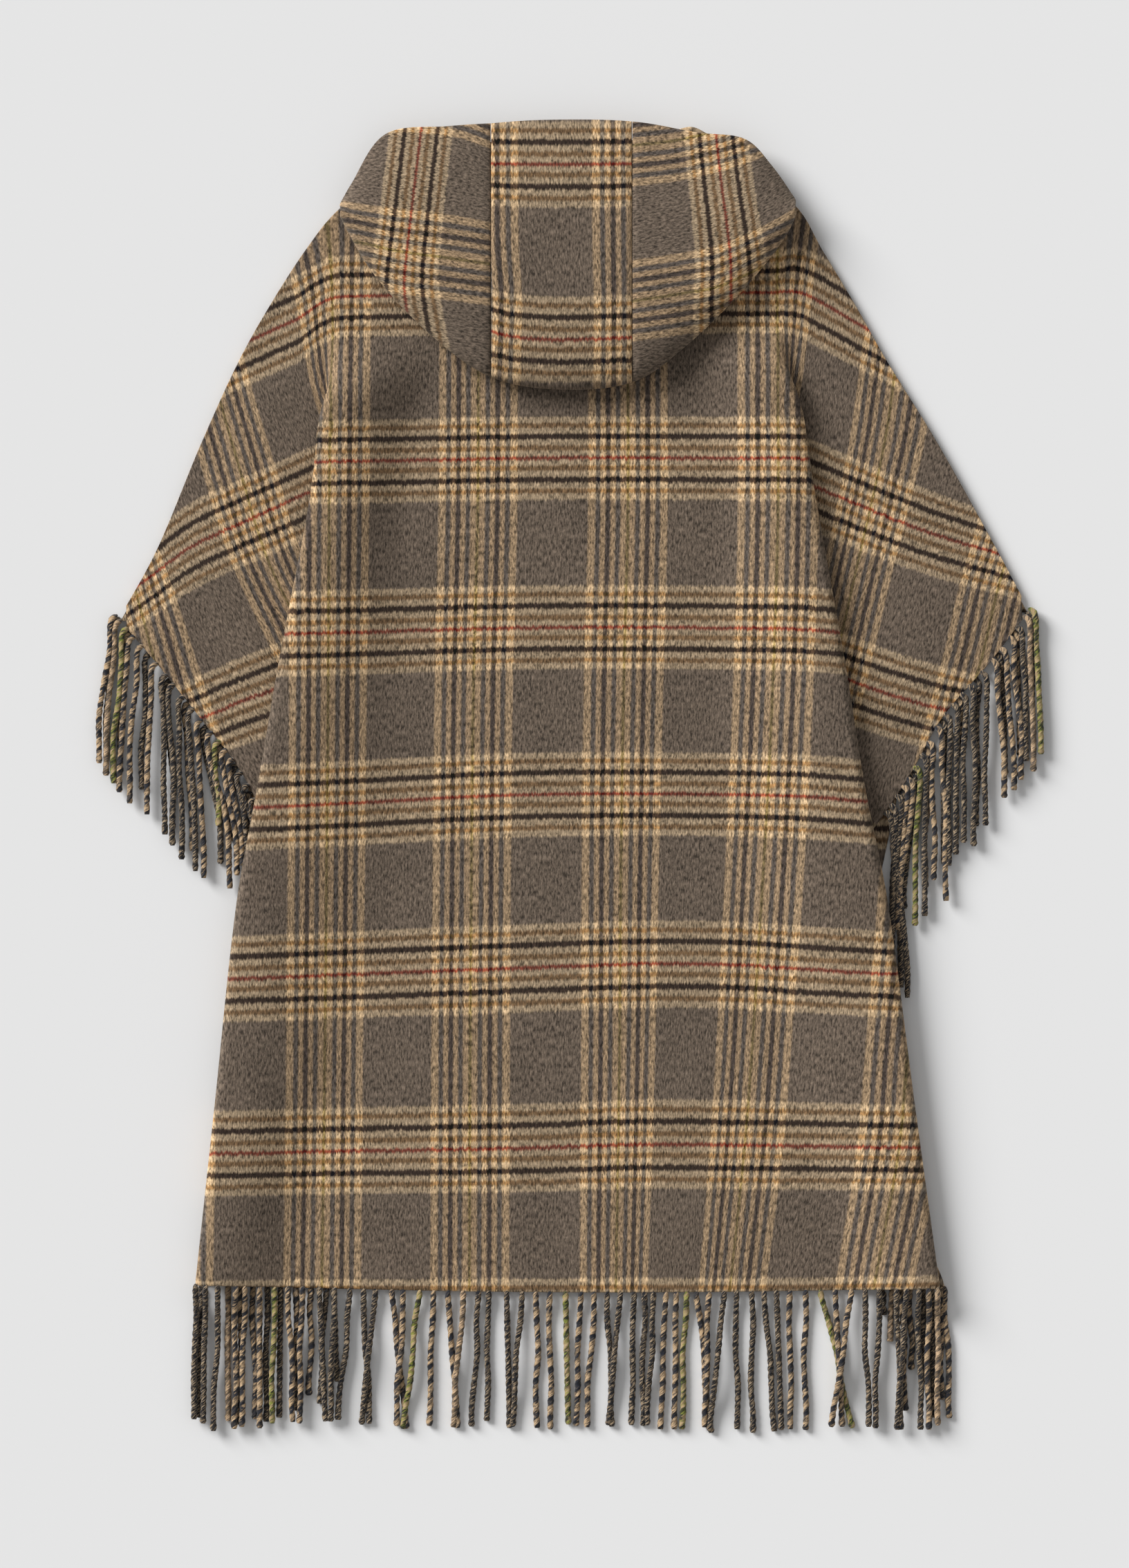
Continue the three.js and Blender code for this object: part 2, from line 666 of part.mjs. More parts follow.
// A tube with few sides through a list of points, its flat side down.
function strand(points, radius, sides = 3) {
  const positions = [];
  const index = [];
  points.forEach((point, j) => {
    const before = points[Math.max(0, j - 1)];
    const after = points[Math.min(points.length - 1, j + 1)];
    const run = new THREE.Vector3().subVectors(after, before).setZ(0).normalize();
    const aside = new THREE.Vector3(-run.y, run.x, 0);
    const size = j === points.length - 1 ? radius * 0.75 : radius;
    for (let i = 0; i < sides; i += 1) {
      const angle = Math.PI / 2 + (2 * Math.PI * i) / sides;
      const place = point.clone().addScaledVector(aside, size * Math.cos(angle));
      positions.push(place.x, place.y, place.z + size * Math.sin(angle));
    }
  });
  for (let j = 0; j < points.length - 1; j += 1) {
    for (let i = 0; i < sides; i += 1) {
      const next = (i + 1) % sides;
      const a = j * sides + i;
      const b = j * sides + next;
      index.push(a, b, a + sides, b, b + sides, a + sides);
    }
  }
  const last = (points.length - 1) * sides;
  for (let i = 1; i < sides - 1; i += 1) {
    index.push(0, i + 1, i);
    index.push(last, last + i, last + i + 1);
  }
  const geometry = new THREE.BufferGeometry();
  geometry.setAttribute('position', new THREE.Float32BufferAttribute(positions, 3));
  geometry.setIndex(index);
  return geometry;
}

// A backing strip along an edge, four-sided, through points that already lie clear of the cloth.
function backingStrip(points) {
  const lines = points.map((p) => [
    new THREE.Vector3(p.x, p.y, p.z),
    new THREE.Vector3(p.x + p.outX * STRIP_DEPTH, p.y + p.outY * STRIP_DEPTH, p.z),
  ]);
  return wall(lines, CLOTH);
}

// Fringe along an edge. Each place on the edge has the way out of it; rows say where strands lie and how
// high.
function fringe({ edge, count, radius, length, restZ, lean, from = 0, to = 1, spread = 2.2 }) {
  const steps = Math.max(4, Math.round(count / 3));
  const strip = [];
  for (let i = 0; i <= steps; i += 1) {
    strip.push(edge(mix(from, to, i / steps)));
  }
  let solid = toSolid(backingStrip(strip));
  for (let i = 0; i < count; i += 1) {
    const share = mix(from, to, (i + 0.5) / count);
    const root = edge(share);
    const sway = spread * Math.sin(i * 1.9 + 0.6) + 0.6 * spread * Math.sin(i * 0.83);
    const reach = length * (1 - 0.05 * Math.abs(Math.sin(i * 2.3)));
    const points = [];
    for (let j = 0; j <= STRAND_STEPS; j += 1) {
      const t = j / STRAND_STEPS;
      const out = STRIP_DEPTH * STRAND_ROOT * (1 - t);
      const x = root.x + root.outX * out + lean(share) * smooth(t * 1.5) + sway * t;
      const y = root.y + root.outY * STRIP_DEPTH * STRAND_ROOT - reach * t;
      const rest = restZ(share);
      const z = mix(Math.max(root.z, Math.min(rest, root.z + 1)), rest, smooth(t * 3));
      points.push(new THREE.Vector3(x, y, z));
    }
    solid = solid.add(toSolid(strand(points, radius)));
  }
  return fromSolid(solid);
}

// The hem of the back or of a front as an edge that points down the page.
function hemEdge(fromX, toX, heightAt) {
  return (share) => {
    const x = mix(fromX, toX, share);
    return { x, y: hemY(x) - SEAM_GAP - CLOTH * 0.1, z: heightAt(x), outX: 0, outY: -1 };
  };
}

// A wing's fringed edge, moved out by a gap.
function wingEdge(side, gap, height) {
  const curve = curveThrough(side.wingEdge);
  return (share) => {
    const point = curve.getPointAt(share);
    const tangent = curve.getTangentAt(share);
    const out = new THREE.Vector3(side.sign * Math.abs(tangent.y), -Math.abs(tangent.x), 0).normalize();
    return {
      x: point.x + out.x * gap,
      y: point.y + out.y * gap,
      z: height(point),
      outX: out.x,
      outY: out.y,
    };
  };
}

const floorStrandZ = FLOOR_GAP + STRAND_RADIUS / 2;
const thinStrandZ = FLOOR_GAP + THIN_STRAND_RADIUS / 2;
const upperStrandZ = thinStrandZ + THIN_STRAND_RADIUS + SEAM_GAP + STRAND_RADIUS / 2;

function backHemFringe() {
  const leftX = left.fold.at(-1).x + 5;
  const rightX = right.fold.at(-1).x - 5;
  const edge = hemEdge(leftX, rightX, (x) => backZ(x, hemY(x)));
  const width = rightX - leftX;
  const lowOnSurface = (share) => {
    const x = mix(leftX, rightX, share);
    const overLeft = 1 - smooth((x - LEFT.frontHemEnd - 6) / 25);
    const overRight = smooth((x - RIGHT.frontHemEnd + 6 + 25) / 25);
    return mix(floorStrandZ, upperStrandZ, Math.max(overLeft, overRight));
  };
  return fringe({
    edge,
    count: Math.round(width / STRAND_PITCH),
    radius: STRAND_RADIUS,
    length: STRAND_LENGTH,
    restZ: lowOnSurface,
    lean: () => 0,
  });
}

function frontHemFringe(side, count) {
  const outer = side.fold.at(-1).x - side.sign * 6;
  const fromX = Math.min(outer, side.frontHemEnd);
  const toX = Math.max(outer, side.frontHemEnd);
  return fringe({
    edge: hemEdge(fromX, toX, () => FRONT_STRAND_ROOT_Z),
    count,
    radius: THIN_STRAND_RADIUS,
    length: STRAND_LENGTH - 6,
    restZ: () => thinStrandZ,
    lean: () => 0,
  });
}

function backWingFringe(side, count) {
  return fringe({
    edge: wingEdge(side, side.backStripGap, (p) => wingZ(side, p.x, p.y)),
    count,
    radius: THIN_STRAND_RADIUS,
    length: STRAND_LENGTH,
    restZ: () => upperStrandZ,
    lean: () => side.sign * 12,
    from: 0.01,
    to: 0.72,
    spread: 0.5,
  });
}

function frontWingFringe(side, count) {
  return fringe({
    edge: wingEdge(side, side.frontStripGap, () => FRONT_STRAND_ROOT_Z),
    count,
    radius: THIN_STRAND_RADIUS,
    length: STRAND_LENGTH + 10,
    restZ: () => thinStrandZ,
    lean: () => side.sign * 7,
    from: 0.04,
    to: 0.53,
    spread: 0.8,
  });
}

const cape = new THREE.Group();

function addPiece(name, geometry, look) {
  const mesh = new THREE.Mesh(geometry, new THREE.MeshStandardMaterial(look));
  mesh.name = name;
  cape.add(mesh);
}

addPiece('back', backPanel(), WOOL);
addPiece('front_left', frontPanel(left), WOOL);
addPiece('front_right', frontPanel(right), WOOL);
addPiece('hood_side_left', hoodPiece(null, STRIP_LEFT_X - HOOD_SEAM_GAP, 9), WOOL);
addPiece('hood_strip', hoodPiece(STRIP_LEFT_X, STRIP_RIGHT_X, 5), WOOL);
addPiece('hood_side_right', hoodPiece(STRIP_RIGHT_X + HOOD_SEAM_GAP, null, 9), WOOL);
addPiece('hood_nape', hoodNape(), WOOL);
addPiece('fringe_hem_back', backHemFringe(), YARN);
addPiece('fringe_hem_front_left', frontHemFringe(left, 10), YARN);
addPiece('fringe_hem_front_right', frontHemFringe(right, 5), YARN);
addPiece('fringe_wing_back_left', backWingFringe(left, 17), YARN);
addPiece('fringe_wing_back_right', backWingFringe(right, 17), YARN);
addPiece('fringe_wing_front_left', frontWingFringe(left, 12), YARN);
addPiece('fringe_wing_front_right', frontWingFringe(right, 12), YARN);

export default cape;
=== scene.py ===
"""Hooded open-front cape of brushed wool plaid, laid flat with its back up and its hood spread on the back.

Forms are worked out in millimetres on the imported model's own axes and put into metres when a mesh is made:
+X right, +Y toward the hood, +Z up off the surface that the cape lies on.
"""

import logging
import math
from collections.abc import Callable, Sequence
from dataclasses import dataclass
from enum import Enum

import bmesh
import bpy
import numpy as np
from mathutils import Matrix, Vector


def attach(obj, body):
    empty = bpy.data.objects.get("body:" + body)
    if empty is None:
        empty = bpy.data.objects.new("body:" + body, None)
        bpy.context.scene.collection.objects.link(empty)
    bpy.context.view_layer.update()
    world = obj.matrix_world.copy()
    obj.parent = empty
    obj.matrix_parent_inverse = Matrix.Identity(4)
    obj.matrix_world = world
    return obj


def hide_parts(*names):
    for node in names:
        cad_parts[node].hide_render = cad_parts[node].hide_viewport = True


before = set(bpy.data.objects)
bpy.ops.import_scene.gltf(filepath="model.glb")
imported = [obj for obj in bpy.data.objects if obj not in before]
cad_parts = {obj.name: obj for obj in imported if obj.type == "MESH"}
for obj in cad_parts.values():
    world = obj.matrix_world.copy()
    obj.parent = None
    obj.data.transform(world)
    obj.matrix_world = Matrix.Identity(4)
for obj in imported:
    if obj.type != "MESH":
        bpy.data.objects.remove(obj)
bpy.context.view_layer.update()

LOG = logging.getLogger("cape")

MM = 0.001
PHOTO_SCALE = 0.6  # millimetres for each pixel of the photograph
PHOTO_CENTRE = (828.0, 1121.5)  # pixel that lies over the model's origin
PHOTO_SIZE = (1633, 2268)

# Cloth, as in the part's source
CLOTH = 3.0
RIM_SHARES = (0.34, 0.74, 0.93)
RIM_PLACES = (0.0, 0.5, 1.3)
RIM_WIDTH = 2.6
EDGE_Z = 5.4
SAG_Z = 5.4
NECK_Y = 522.0
NECK_DIP = 10.0
HEM_LEFT_Y = -441.9
HEM_RIGHT_Y = -444.9
HEM_DROP = 5.0
PLEAT_RISE = 18.0
PLEAT_GROWTH = 105.0
HEAD_RISE = 110.0
SHOULDER_LEAN = 0.04
SHOULDER_BLEND = 44.0
ROW_BLEND = 50.0
PLEAT_LEAD = 2.5
HIDDEN_LEAST = 4.0
FOLD_SHOULDER = 8.0
FOLD_INSET = 1.5  # from the outline of a side fold to the middle of its cloth
SLOPE_REACH = 66.0
SLOPE_OVER_PLEAT = 1.3
WING_REACH = 55.0
WING_TIP_SHARE = 0.035
ROW_SPANS = (4 / 20, 7 / 20, 9 / 20)  # shares of the rows above, in and below the pleat's opening

# Along the side pleats at each y: middle of the wing layer, inner and outer fold radius
PLEAT_SECTIONS = (
    (560.0, 6.0, 2.4, 3.0), (375.0, 8.0, 2.4, 3.6), (270.0, 8.6, 2.4, 5.8), (-90.0, 6.6, 2.4, 6.4),
    (-290.0, 3.2, 2.4, 6.0), (-460.0, 0.9, 2.4, 4.8),
)

LEFT_OVER_ARM = (
    (-136.8, 543.9), (-202.8, 491.1), (-230.4, 456.9), (-261.6, 408.9), (-288.6, 360.9), (-321.6, 288.9),
    (-361.8, 192.9), (-393.6, 135.3),
)
LEFT_WING_EDGE = ((-393.6, 135.3), (-366.0, 103.5), (-322.2, 48.9), (-285.0, -0.9), (-240.0, -101.1))
LEFT_FOLD = (
    (-219.6, 372.9), (-224.4, 263.7), (-253.8, 101.7), (-272.4, -6.3), (-291.0, -110.0), (-310.2, -287.1),
    (-327.0, -441.9),
)
RIGHT_OVER_ARM = (
    (123.0, 543.9), (195.0, 492.9), (216.6, 456.9), (244.8, 408.9), (271.8, 360.9), (316.2, 288.9),
    (369.6, 192.9), (396.0, 143.1),
)
RIGHT_WING_EDGE = ((396.0, 143.1), (363.6, 99.9), (320.4, 49.5), (290.0, -4.0), (223.0, -101.1))
RIGHT_FOLD = (
    (195.0, 384.9), (204.0, 284.1), (237.0, 92.7), (253.2, -8.7), (273.0, -108.9), (296.4, -283.5),
    (318.6, -444.9),
)

# Hood, as in the part's source
HOOD_TOP = (
    (-202.2, 490.5), (-190.2, 512.5), (-162.0, 555.0), (-108.0, 562.0), (-70.0, 564.6), (-28.8, 567.3),
    (52.8, 566.0), (108.0, 556.5), (150.0, 550.5), (171.6, 528.3), (194.4, 494.5),
)
HOOD_LOW = (
    (-202.2, 488.0), (-173.4, 438.3), (-122.4, 383.0), (-70.0, 346.2), (-15.0, 335.7), (52.8, 342.3),
    (96.0, 371.7), (151.2, 426.3), (184.8, 470.0), (194.4, 491.0),
)
STRIP_LEFT_X = -70.4
STRIP_RIGHT_X = 51.4
HOOD_SEAM_GAP = 0.45
HOOD_FACE_Z = 21.0
HOOD_CREST_Z = 37.0
HOOD_EDGE_Z = 20.0
HOOD_UNDER_Z = 10.0
HOOD_CREST = 0.72
HOOD_TUCK = 12.0
HOOD_CORNER_Y = 500.0
HOOD_BASE_RISE = 6.0
HOOD_CORNER_LIFT = 0.42
HOOD_CORNER_DROP = 0.72
HOOD_ROUND = 0.9
HOOD_END_SHARE = 0.006
NAPE_FLOOR_Z = 8.6
NAPE_CLEARANCE = 0.8

# Plaid, charted from the photograph: the repeat of each set of stripes
WARP_REPEAT = 129.6
WEFT_REPEAT = 149.0

# Fringe
YARN_PITCH = 13.5
PLY_LAYERS = ("ply_a", "ply_b", "ply_c")


class Ply(Enum):
    """Two yarns that a fringe strand is twisted from, and the stray fibres that show on them."""

    CHARCOAL = ("#2C2A2A", "#1D1E22", "#A08C72")
    MIXED = ("#B59A79", "#24262D", "#4A443E")
    TAN = ("#BA9E7E", "#75644F", "#33343A")
    OLIVE = ("#A38D6A", "#34352A", "#80853A")


PLY_OF_LETTER = {"c": Ply.CHARCOAL, "m": Ply.MIXED, "t": Ply.TAN, "o": Ply.OLIVE}


Array = np.ndarray
Socket = bpy.types.NodeSocket
Grain = tuple[float, float, float]  # millimetres across and along the warp, and finer layers


def clamp01(value: Array | float) -> Array:
    """Value held between 0 and 1."""
    return np.clip(value, 0.0, 1.0)


def smooth(value: Array | float) -> Array:
    """Smooth step from 0 to 1."""
    t = clamp01(value)
    return t * t * (3 - 2 * t)


def mix(a: Array | float, b: Array | float, t: Array | float) -> Array:
    """Value between a and b at share t."""
    return a + (b - a) * t


def on_page(x: float, y: float) -> tuple[float, float]:
    """Place in millimetres of a pixel of the photograph."""
    return (x - PHOTO_CENTRE[0]) * PHOTO_SCALE, (PHOTO_CENTRE[1] - y) * PHOTO_SCALE


def from_page(x: Array, y: Array) -> tuple[Array, Array]:
    """Pixels of the photograph over places in millimetres, in one row."""
    return x.ravel() / PHOTO_SCALE + PHOTO_CENTRE[0], PHOTO_CENTRE[1] - y.ravel() / PHOTO_SCALE


class Track:
    """Smooth curve of one value against another, through rows of a table."""

    def __init__(self, places: Sequence[float], values: Sequence[float]) -> None:
        """Sort the rows and work out a slope at each.

        Args:
            places: Where each row stands.
            values: The value of each row.
        """
        order = np.argsort(places)
        self.places = np.asarray(places, dtype=float)[order]
        self.values = np.asarray(values, dtype=float)[order]
        last = len(self.places) - 1
        before = np.maximum(np.arange(last + 1) - 1, 0)
        after = np.minimum(np.arange(last + 1) + 1, last)
        self.slopes = (self.values[after] - self.values[before]) / (self.places[after] - self.places[before])

    def __call__(self, at: Array | float) -> Array:
        """Value at one or more places.

        Args:
            at: The places.

        Returns:
            The values, carried on in a straight line past both ends.
        """
        at = np.asarray(at, dtype=float)
        i = np.searchsorted(self.places[1:-1], at, side="left")
        span = self.places[i + 1] - self.places[i]
        t = (at - self.places[i]) / span
        low, high = self.values[i], self.values[i + 1]
        rise, lift = self.slopes[i] * span, self.slopes[i + 1] * span
        t2, t3 = t * t, t * t * t
        inside = low * (2 * t3 - 3 * t2 + 1) + rise * (t3 - 2 * t2 + t) + high * (3 * t2 - 2 * t3) + lift * (t3 - t2)
        return np.where(t < 0, low + rise * t, np.where(t > 1, high + lift * (t - 1), inside))


class Curve:
    """Smooth open curve through points, read by its share of length."""

    STEPS = 60

    def __init__(self, points: Sequence[Sequence[float]]) -> None:
        """Sample the curve closely.

        Args:
            points: The points that it runs through.
        """
        p = np.asarray(points, dtype=float)
        p = np.vstack([2 * p[0] - p[1], p, 2 * p[-1] - p[-2]])
        samples = []
        for k in range(1, len(p) - 2):
            gaps = [max(np.linalg.norm(p[k + m] - p[k + m - 1]) ** 0.5, 1e-6) for m in (0, 1, 2)]
            start = (p[k] - p[k - 1]) / gaps[0] - (p[k + 1] - p[k - 1]) / (gaps[0] + gaps[1])
            start = (start + (p[k + 1] - p[k]) / gaps[1]) * gaps[1]
            end = (p[k + 1] - p[k]) / gaps[1] - (p[k + 2] - p[k]) / (gaps[1] + gaps[2])
            end = (end + (p[k + 2] - p[k + 1]) / gaps[2]) * gaps[1]
            t = np.linspace(0, 1, self.STEPS, endpoint=False)[:, None]
            cubic = (2 * t**3 - 3 * t**2 + 1) * p[k] + (3 * t**2 - 2 * t**3) * p[k + 1]
            samples.append(cubic + (t**3 - 2 * t**2 + t) * start + (t**3 - t**2) * end)
        self.points = np.vstack([*samples, p[-2:-1]])
        steps = np.linalg.norm(np.diff(self.points, axis=0), axis=1)
        self.lengths = np.concatenate([[0.0], np.cumsum(steps)])

    def at(self, share: Array | float) -> Array:
        """Points at shares of the curve's length."""
        goal = np.asarray(share, dtype=float) * self.lengths[-1]
        return np.stack([np.interp(goal, self.lengths, self.points[:, k]) for k in range(self.points.shape[1])], -1)

    def share_at_x(self, x: float) -> float:
        """Share of the length at which the curve reaches x."""
        order = np.argsort(self.points[:, 0])
        return float(np.interp(x, self.points[order, 0], self.lengths[order]) / self.lengths[-1])


WING_HEIGHT = Track([row[0] for row in PLEAT_SECTIONS], [row[1] for row in PLEAT_SECTIONS])
INNER_RADIUS = Track([row[0] for row in PLEAT_SECTIONS], [row[2] for row in PLEAT_SECTIONS])
OUTER_RADIUS = Track([row[0] for row in PLEAT_SECTIONS], [row[3] for row in PLEAT_SECTIONS])


class Side:
    """One side of the cape: its over-arm edge, its fringed wing edge and the pleat under its side fold."""

    INNER_STEPS = 8
    HIDDEN_STEPS = 4
    OUTER_STEPS = 12

    def __init__(
        self,
        sign: int,
        over_arm: Sequence[tuple[float, float]],
        wing_edge: Sequence[tuple[float, float]],
        fold: Sequence[tuple[float, float]],
    ) -> None:
        """Work out the side's curves.

        Args:
            sign: -1 on the left and 1 on the right.
            over_arm: Edge from the neck to the wing's tip.
            wing_edge: Edge from the wing's tip to the side fold.
            fold: Side fold from the shoulder to the hem.
        """
        self.sign = sign
        self.neck_corner = over_arm[0]
        self.shoulder = fold[0]
        self.tip = wing_edge[0]
        self.seam_top = wing_edge[-1]
        self.hem_corner = fold[-1]
        self.wing_edge = wing_edge
        self.over_curve = Curve(over_arm)
        self.edge_curve = Curve(wing_edge)
        self.edge_y = Track([p[0] for p in over_arm], [p[1] for p in over_arm])
        self.arm_x = Track([p[1] for p in over_arm], [p[0] for p in over_arm])
        self.wing_x = Track([p[1] for p in wing_edge], [p[0] for p in wing_edge])
        self.fold_x = Track([p[1] for p in fold], [p[0] - sign * FOLD_INSET for p in fold])
        self.inner_fold = Track([self.shoulder[1], self.seam_top[1]], [self.shoulder[0], self.seam_top[0]])
        turns = [0.0]
        turns += [(i + 0.5) / self.INNER_STEPS for i in range(self.INNER_STEPS)]
        turns += [1.0] * self.HIDDEN_STEPS
        turns += [1 - (i + 0.5) / self.OUTER_STEPS for i in range(self.OUTER_STEPS)]
        turns += [0.0]
        feet = [0.0] * (1 + self.INNER_STEPS)
        feet += [(i + 1) / self.HIDDEN_STEPS for i in range(self.HIDDEN_STEPS)]
        feet += [1.0] * (self.OUTER_STEPS + 1)
        self.turns = turns
        self.feet = feet

    def outline_x(self, y: Array) -> Array:
        """X of the outer edge at y."""
        return np.where(y > self.tip[1], self.arm_x(y), self.wing_x(y))

    def wing_z(self, x: Array, y: Array) -> Array:
        """Height of the middle of the wing's cloth."""
        inside = self.sign * (self.outline_x(y) - x)
        return mix(EDGE_Z, WING_HEIGHT(y), smooth(inside / WING_REACH))

    def open_share(self, y: Array) -> Array:
        """How far the pleat is open at y, from 0 above the shoulder point to 1."""
        return smooth((self.shoulder[1] + PLEAT_RISE - y) / PLEAT_GROWTH)

    def body_share(self, x: Array, y: Array) -> Array:
        """How far the body's plaid has taken over from the wing's about the shoulder line."""
        return smooth((SHOULDER_BLEND / 2 - self.sign * (x - self.shoulder_x(y))) / SHOULDER_BLEND)

    @property
    def chart(self) -> "Chart":
        """Chart of the wing's plaid."""
        return LEFT_WING_CHART if self.sign < 0 else RIGHT_WING_CHART

    def hidden_width(self, y: Array) -> Array:
        """Width of the cloth folded under the side fold at y."""
        level = np.maximum(y, self.seam_top[1])
        width = self.sign * (self.fold_x(level) - self.inner_fold(level))
        foot = self.hem_corner[1]
        share = np.where(y > self.seam_top[1], 1.0, clamp01((y - foot) / (self.seam_top[1] - foot)))
        return np.maximum(HIDDEN_LEAST, width * share)

    def shoulder_x(self, y: Array) -> Array:
        """Line of the shoulder that the pleat grows from."""
        return self.shoulder[0] - self.sign * (y - self.shoulder[1]) * SHOULDER_LEAN

    def pleat_start(self, y: Array) -> Array:
        """X of the pleat's first line at y."""
        folded = self.fold_x(y) - self.sign * (self.hidden_width(y) + OUTER_RADIUS(y) - PLEAT_LEAD)
        return mix(self.shoulder_x(y), folded, self.open_share(y))

    def step_length(self, step: int, y: Array) -> Array:
        """Length at y of one step across the pleat."""
        if step in (0, len(self.turns) - 1):
            return np.full_like(y, PLEAT_LEAD)
        if step <= self.INNER_STEPS:
            return math.pi * INNER_RADIUS(y) / self.INNER_STEPS
        if step <= self.INNER_STEPS + self.HIDDEN_STEPS:
            return self.hidden_width(y) / self.HIDDEN_STEPS
        return math.pi * OUTER_RADIUS(y) / self.OUTER_STEPS

    def pleat_point(self, y: Array, count: int) -> Array:
        """Points of the pleat's line after some of its steps, in the middle of the cloth.

        Args:
            y: Where along the garment.
            count: Number of steps across the pleat.

        Returns:
            One point for each y.
        """
        x = self.pleat_start(y)
        z = self.wing_z(x, y)
        for step in range(count):
            angle = math.pi * self.open_share(y) * self.turns[step]
            x = x - self.sign * self.step_length(step, y) * np.cos(angle)
            z = z + self.step_length(step, y) * np.sin(angle)
        return np.stack([x, y, z], -1)

    def row_y(self, head_y: float, foot_y: float, rows: Array) -> Array:
        """Y of the rows of a line, shared between lines where the pleat opens.

        Args:
            head_y: Upper end of the line.
            foot_y: Lower end of the line.
            rows: Shares of the way down.

        Returns:
            One y for each row.
        """
        begin = self.shoulder[1] + PLEAT_RISE
        end = begin - PLEAT_GROWTH
        upper, growth, lower = ROW_SPANS
        opening = mix(begin, end, (rows - upper) / growth)
        shared = np.where(rows < upper, mix(head_y, begin, rows / upper), opening)
        shared = np.where(rows > upper + growth, mix(end, foot_y, (rows - upper - growth) / lower), shared)
        return mix(mix(head_y, foot_y, rows), shared, smooth((head_y - begin) / ROW_BLEND))


LEFT = Side(-1, LEFT_OVER_ARM, LEFT_WING_EDGE, LEFT_FOLD)
RIGHT = Side(1, RIGHT_OVER_ARM, RIGHT_WING_EDGE, RIGHT_FOLD)


def hem_y(x: Array) -> Array:
    """Y of the back's hem at x."""
    share = clamp01((x - LEFT.hem_corner[0]) / (RIGHT.hem_corner[0] - LEFT.hem_corner[0]))
    return mix(HEM_LEFT_Y, HEM_RIGHT_Y, share) - HEM_DROP * np.sin(math.pi * share)


def fall_from(side: Side, x: Array, y: Array) -> Array:
    """Height of the back as one side fold lets it fall toward the middle."""
    top = side.pleat_point(y, len(side.turns))
    inside = side.sign * (top[..., 0] - x) - FOLD_SHOULDER
    reach = SLOPE_REACH + SLOPE_OVER_PLEAT * side.hidden_width(y)
    return mix(top[..., 2], SAG_Z, smooth(inside / reach))


def back_z(x: Array, y: Array) -> Array:
    """Height of the middle of the back's cloth between its side folds."""
    return np.maximum(fall_from(LEFT, x, y), fall_from(RIGHT, x, y))


class Chart:
    """Where the plaid's stripes run on part of the cape, read off the photograph in pixels."""

    def __init__(
        self,
        warps: dict[int, Sequence[tuple[float, float]]],
        wefts: dict[int, Sequence[tuple[float, float]]],
    ) -> None:
        """Turn the pixel rows into curves.

        Args:
            warps: Pixels along the middle line of each numbered warp group, from top to bottom.
            wefts: Pixels along each numbered red weft line, from left to right.
        """
        self.warp_numbers = sorted(warps)
        self.weft_numbers = sorted(wefts)
        self.warp_x = [Track([p[1] for p in warps[k]], [p[0] for p in warps[k]]) for k in self.warp_numbers]
        self.weft_y = [Track([p[0] for p in wefts[k]], [p[1] for p in wefts[k]]) for k in self.weft_numbers]

    @staticmethod
    def place(knots: Array, numbers: Sequence[int], at: Array) -> Array:
        """Number of repeats at a place between knots that stand at whole numbers.

        Args:
            knots: Places of the numbered lines, one row for each.
            numbers: Their numbers.
            at: The places to read.

        Returns:
            A fractional number for each place.
        """
        slopes = np.gradient(knots, axis=0)
        i = np.clip((at[None, :] > knots[1:-1]).sum(axis=0), 0, len(numbers) - 2)
        column = np.arange(at.shape[0])
        low, high = knots[i, column], knots[i + 1, column]
        span = high - low
        t = (at - low) / span
        rise, lift = span / slopes[i, column], span / slopes[i + 1, column]
        t2, t3 = t * t, t * t * t
        inside = rise * (t3 - 2 * t2 + t) + (3 * t2 - 2 * t3) + lift * (t3 - t2)
        value = np.where(t < 0, rise * t, np.where(t > 1, 1 + lift * (t - 1), inside))
        return np.asarray(numbers)[i] + value

    def cloth(self, x: Array, y: Array) -> Array:
        """Place on the flat cloth under points seen from above.

        Args:
            x: X of the points in millimetres.
            y: Y of the points in millimetres.

        Returns:
            Millimetres across and down the flat cloth, one pair for each point.
        """
        px, py = from_page(x, y)
        return self.read(px, py, x.shape)

    def read(self, px: Array, py: Array, shape: tuple[int, ...]) -> Array:
        """Millimetres on the flat cloth under pixels, in the shape asked for."""
        across = self.place(np.stack([track(py) for track in self.warp_x]), self.warp_numbers, px)
        down = self.place(np.stack([track(px) for track in self.weft_y]), self.weft_numbers, py)
        return np.stack([across * WARP_REPEAT, down * WEFT_REPEAT], -1).reshape(*shape, 2)


BODY_CHART = Chart(
    warps={
        -1: ((480, 500), (477, 740), (474, 1100), (470, 1500), (466, 1850)),
        0: ((692, 500), (691, 740), (685, 990), (682, 1260), (680, 1520), (679, 1850)),
        1: ((908, 500), (908, 740), (902, 990), (898, 1260), (896, 1520), (891, 1850)),
        2: ((1124, 500), (1125, 740), (1118, 990), (1106, 1230), (1087, 1525), (1077, 1655), (1057, 1850)),
        3: ((1340, 500), (1341, 740), (1335, 1100), (1330, 1280), (1310, 1525), (1300, 1655), (1266, 1850)),
    },
    wefts={
        0: ((480, 430), (780, 424), (1140, 424)),
        1: ((480, 669), (780, 663), (1140, 664), (1200, 668)),
        2: ((480, 916), (780, 908), (1140, 910), (1220, 916)),
        3: ((480, 1163), (780, 1149), (1140, 1151), (1260, 1160)),
        4: ((480, 1410), (780, 1399), (930, 1394), (1055, 1395), (1155, 1401), (1295, 1409)),
        5: ((480, 1665), (780, 1660), (930, 1655), (1130, 1657), (1330, 1659)),
        6: ((480, 1911), (780, 1911), (1130, 1911), (1330, 1905)),
    },
)
